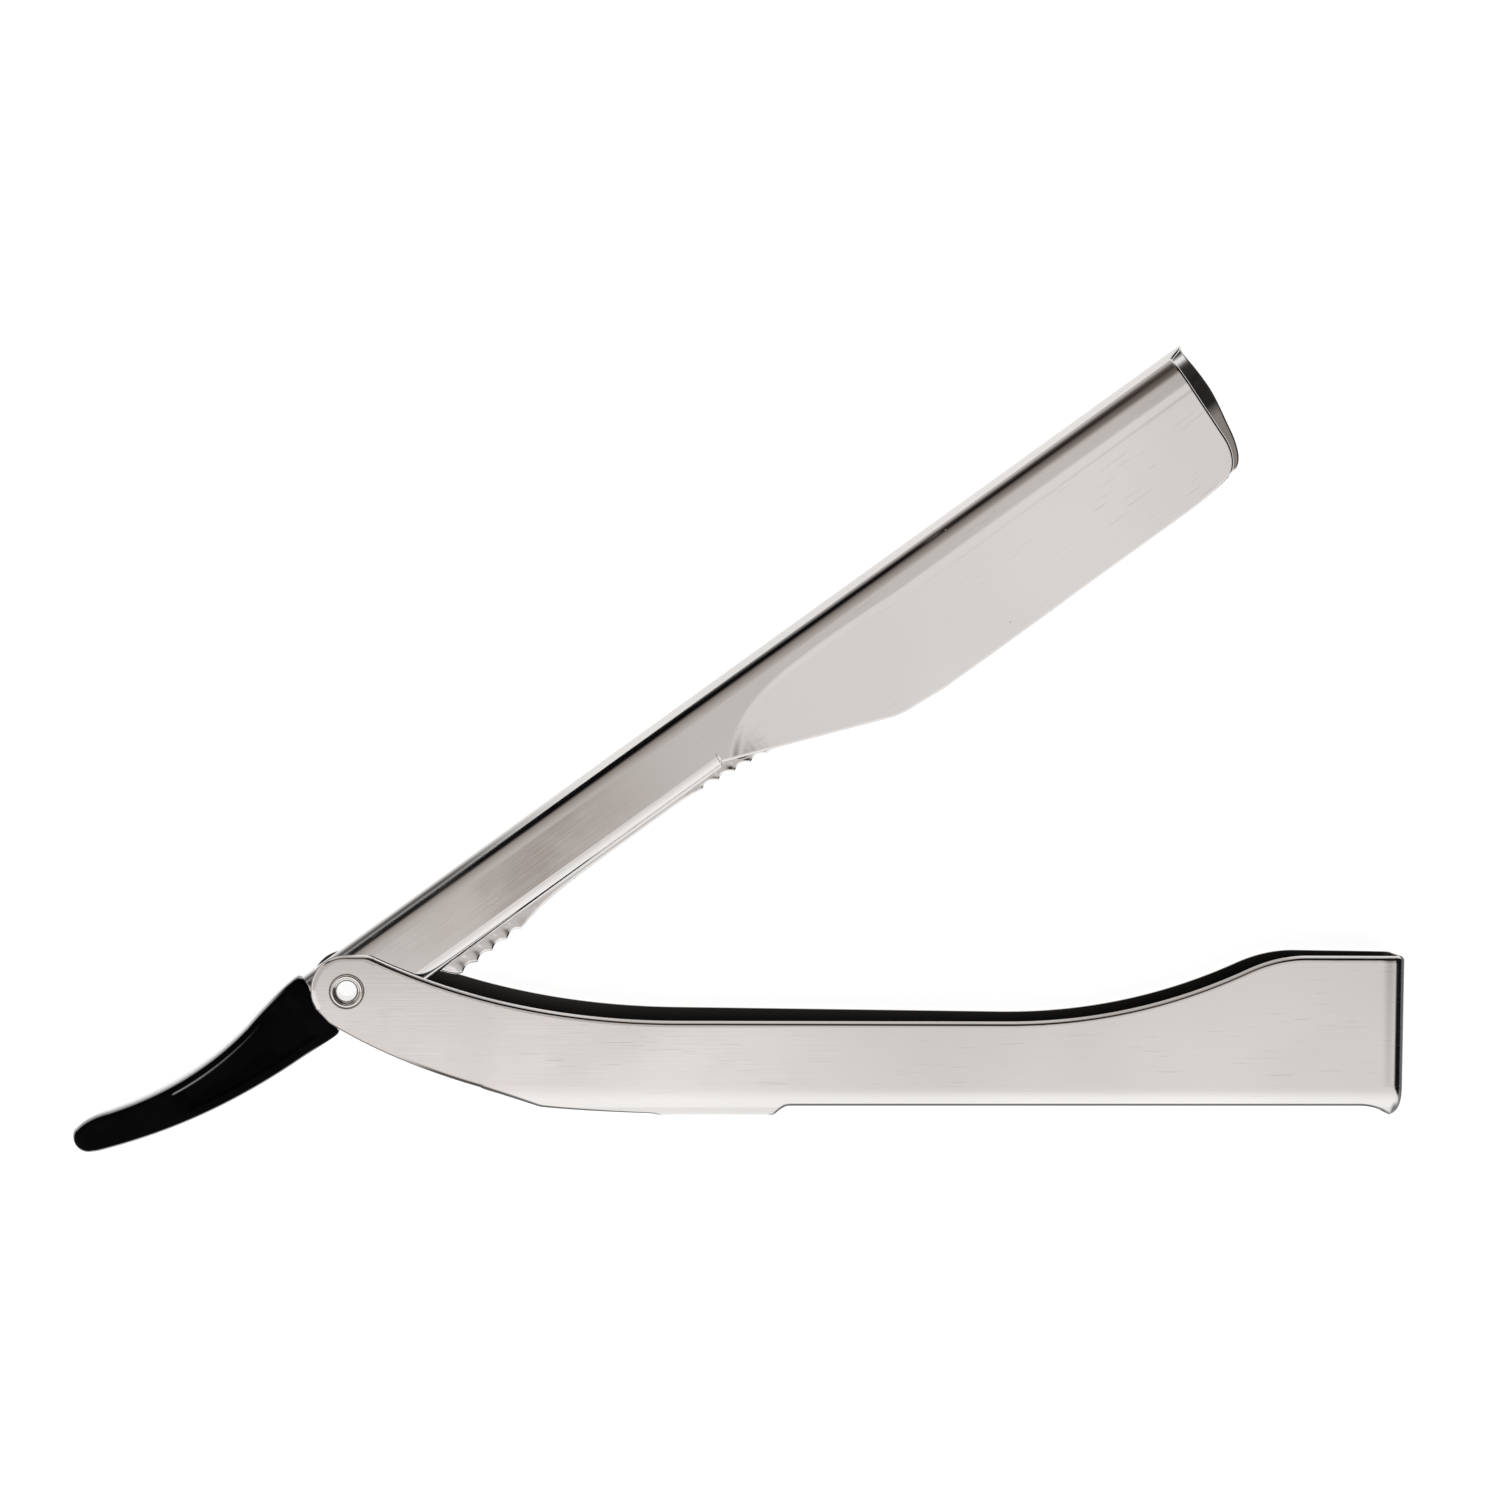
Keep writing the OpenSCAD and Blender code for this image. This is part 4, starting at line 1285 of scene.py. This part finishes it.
def add_floor(settings):
    """A wide flat sheet of paper just under the razor, lit by its own sweep."""
    half_side = 3.0
    k = np.array([-half_side, half_side]) / MM
    x, y = np.meshgrid(k, k, indexing="ij")
    mesh = mesh_from_grids("floor", [np.stack([x, y, 0 * x + CAD_BOX[0].z / MM], -1)])
    floor = bpy.data.objects.new("floor", mesh)
    bpy.context.scene.collection.objects.link(floor)
    if mesh.polygons[0].normal.z < 0:
        mesh.flip_normals()
    material, _, shader, _ = new_material("floor_paper")
    shader.inputs["Base Color"].default_value = (*settings.floor, 1)
    shader.inputs["Roughness"].default_value = 0.9
    shader.inputs["Emission Color"].default_value = (1, 1, 1, 1)
    shader.inputs["Emission Strength"].default_value = settings.floor_glow
    mesh.materials.append(material)


def add_camera(settings):
    """The camera at its place, turned to its aim and rolled about its view."""
    scene = bpy.context.scene
    place, aim = Vector(settings.camera_place), Vector(settings.camera_aim)
    forward = (aim - place).normalized()
    right = forward.cross(Vector((0, 1, 0))).normalized()
    above = right.cross(forward)
    roll = settings.camera_roll
    right, above = (
        right * math.cos(roll) + above * math.sin(roll),
        above * math.cos(roll) - right * math.sin(roll),
    )
    data = bpy.data.cameras.new("camera")
    data.lens = settings.lens
    data.clip_start, data.clip_end = 0.01, 20
    camera = bpy.data.objects.new("camera", data)
    scene.collection.objects.link(camera)
    turn = Matrix((right, above, -forward)).transposed().to_4x4()
    camera.matrix_world = Matrix.Translation(place) @ turn
    scene.camera = camera


class RAZOR_OT_stage(bpy.types.Operator):
    """Add the floor, the lights and the camera"""

    bl_idname = "razor.stage"
    bl_label = "Stage"

    def execute(self, context):
        settings = context.scene.razor_stage
        add_floor(settings)
        world_light()
        context.scene.view_settings.view_transform = "Standard"
        add_camera(settings)
        return {"FINISHED"}


class RAZOR_PT_panel(bpy.types.Panel):
    """Lists the razor's pieces and their sizes"""

    bl_idname = "RAZOR_PT_panel"
    bl_label = "Straight razor"
    bl_space_type = "VIEW_3D"
    bl_region_type = "UI"
    bl_category = "Razor"

    def draw(self, context):
        for operator in OPERATORS:
            self.layout.operator(operator.bl_idname)
        for name, group in GROUPS.items():
            box = self.layout.box()
            box.label(text=group.__doc__)
            for prop in group.__annotations__:
                box.prop(getattr(context.scene, name), prop)


OPERATORS = (
    RAZOR_OT_stage,
    RAZOR_OT_handle,
    RAZOR_OT_rivet,
    RAZOR_OT_fittings,
    RAZOR_OT_holder,
    RAZOR_OT_carrier,
    RAZOR_OT_tail,
)
CLASSES = (*GROUPS.values(), *OPERATORS, RAZOR_PT_panel)


def register():
    """Registers the classes and gives the scene its settings."""
    for cls in CLASSES:
        bpy.utils.register_class(cls)
    for name, group in GROUPS.items():
        setattr(bpy.types.Scene, name, PointerProperty(type=group))


def unregister():
    """Takes the settings and the classes away again."""
    for name in GROUPS:
        delattr(bpy.types.Scene, name)
    for cls in reversed(CLASSES):
        bpy.utils.unregister_class(cls)


def main():
    """Builds the razor piece by piece."""
    register()
    bpy.ops.razor.stage()
    bpy.ops.razor.handle()
    bpy.ops.razor.rivet()
    bpy.ops.razor.fittings()
    bpy.ops.razor.holder()
    bpy.ops.razor.carrier()
    bpy.ops.razor.tail()


if __name__ == "__main__":
    main()
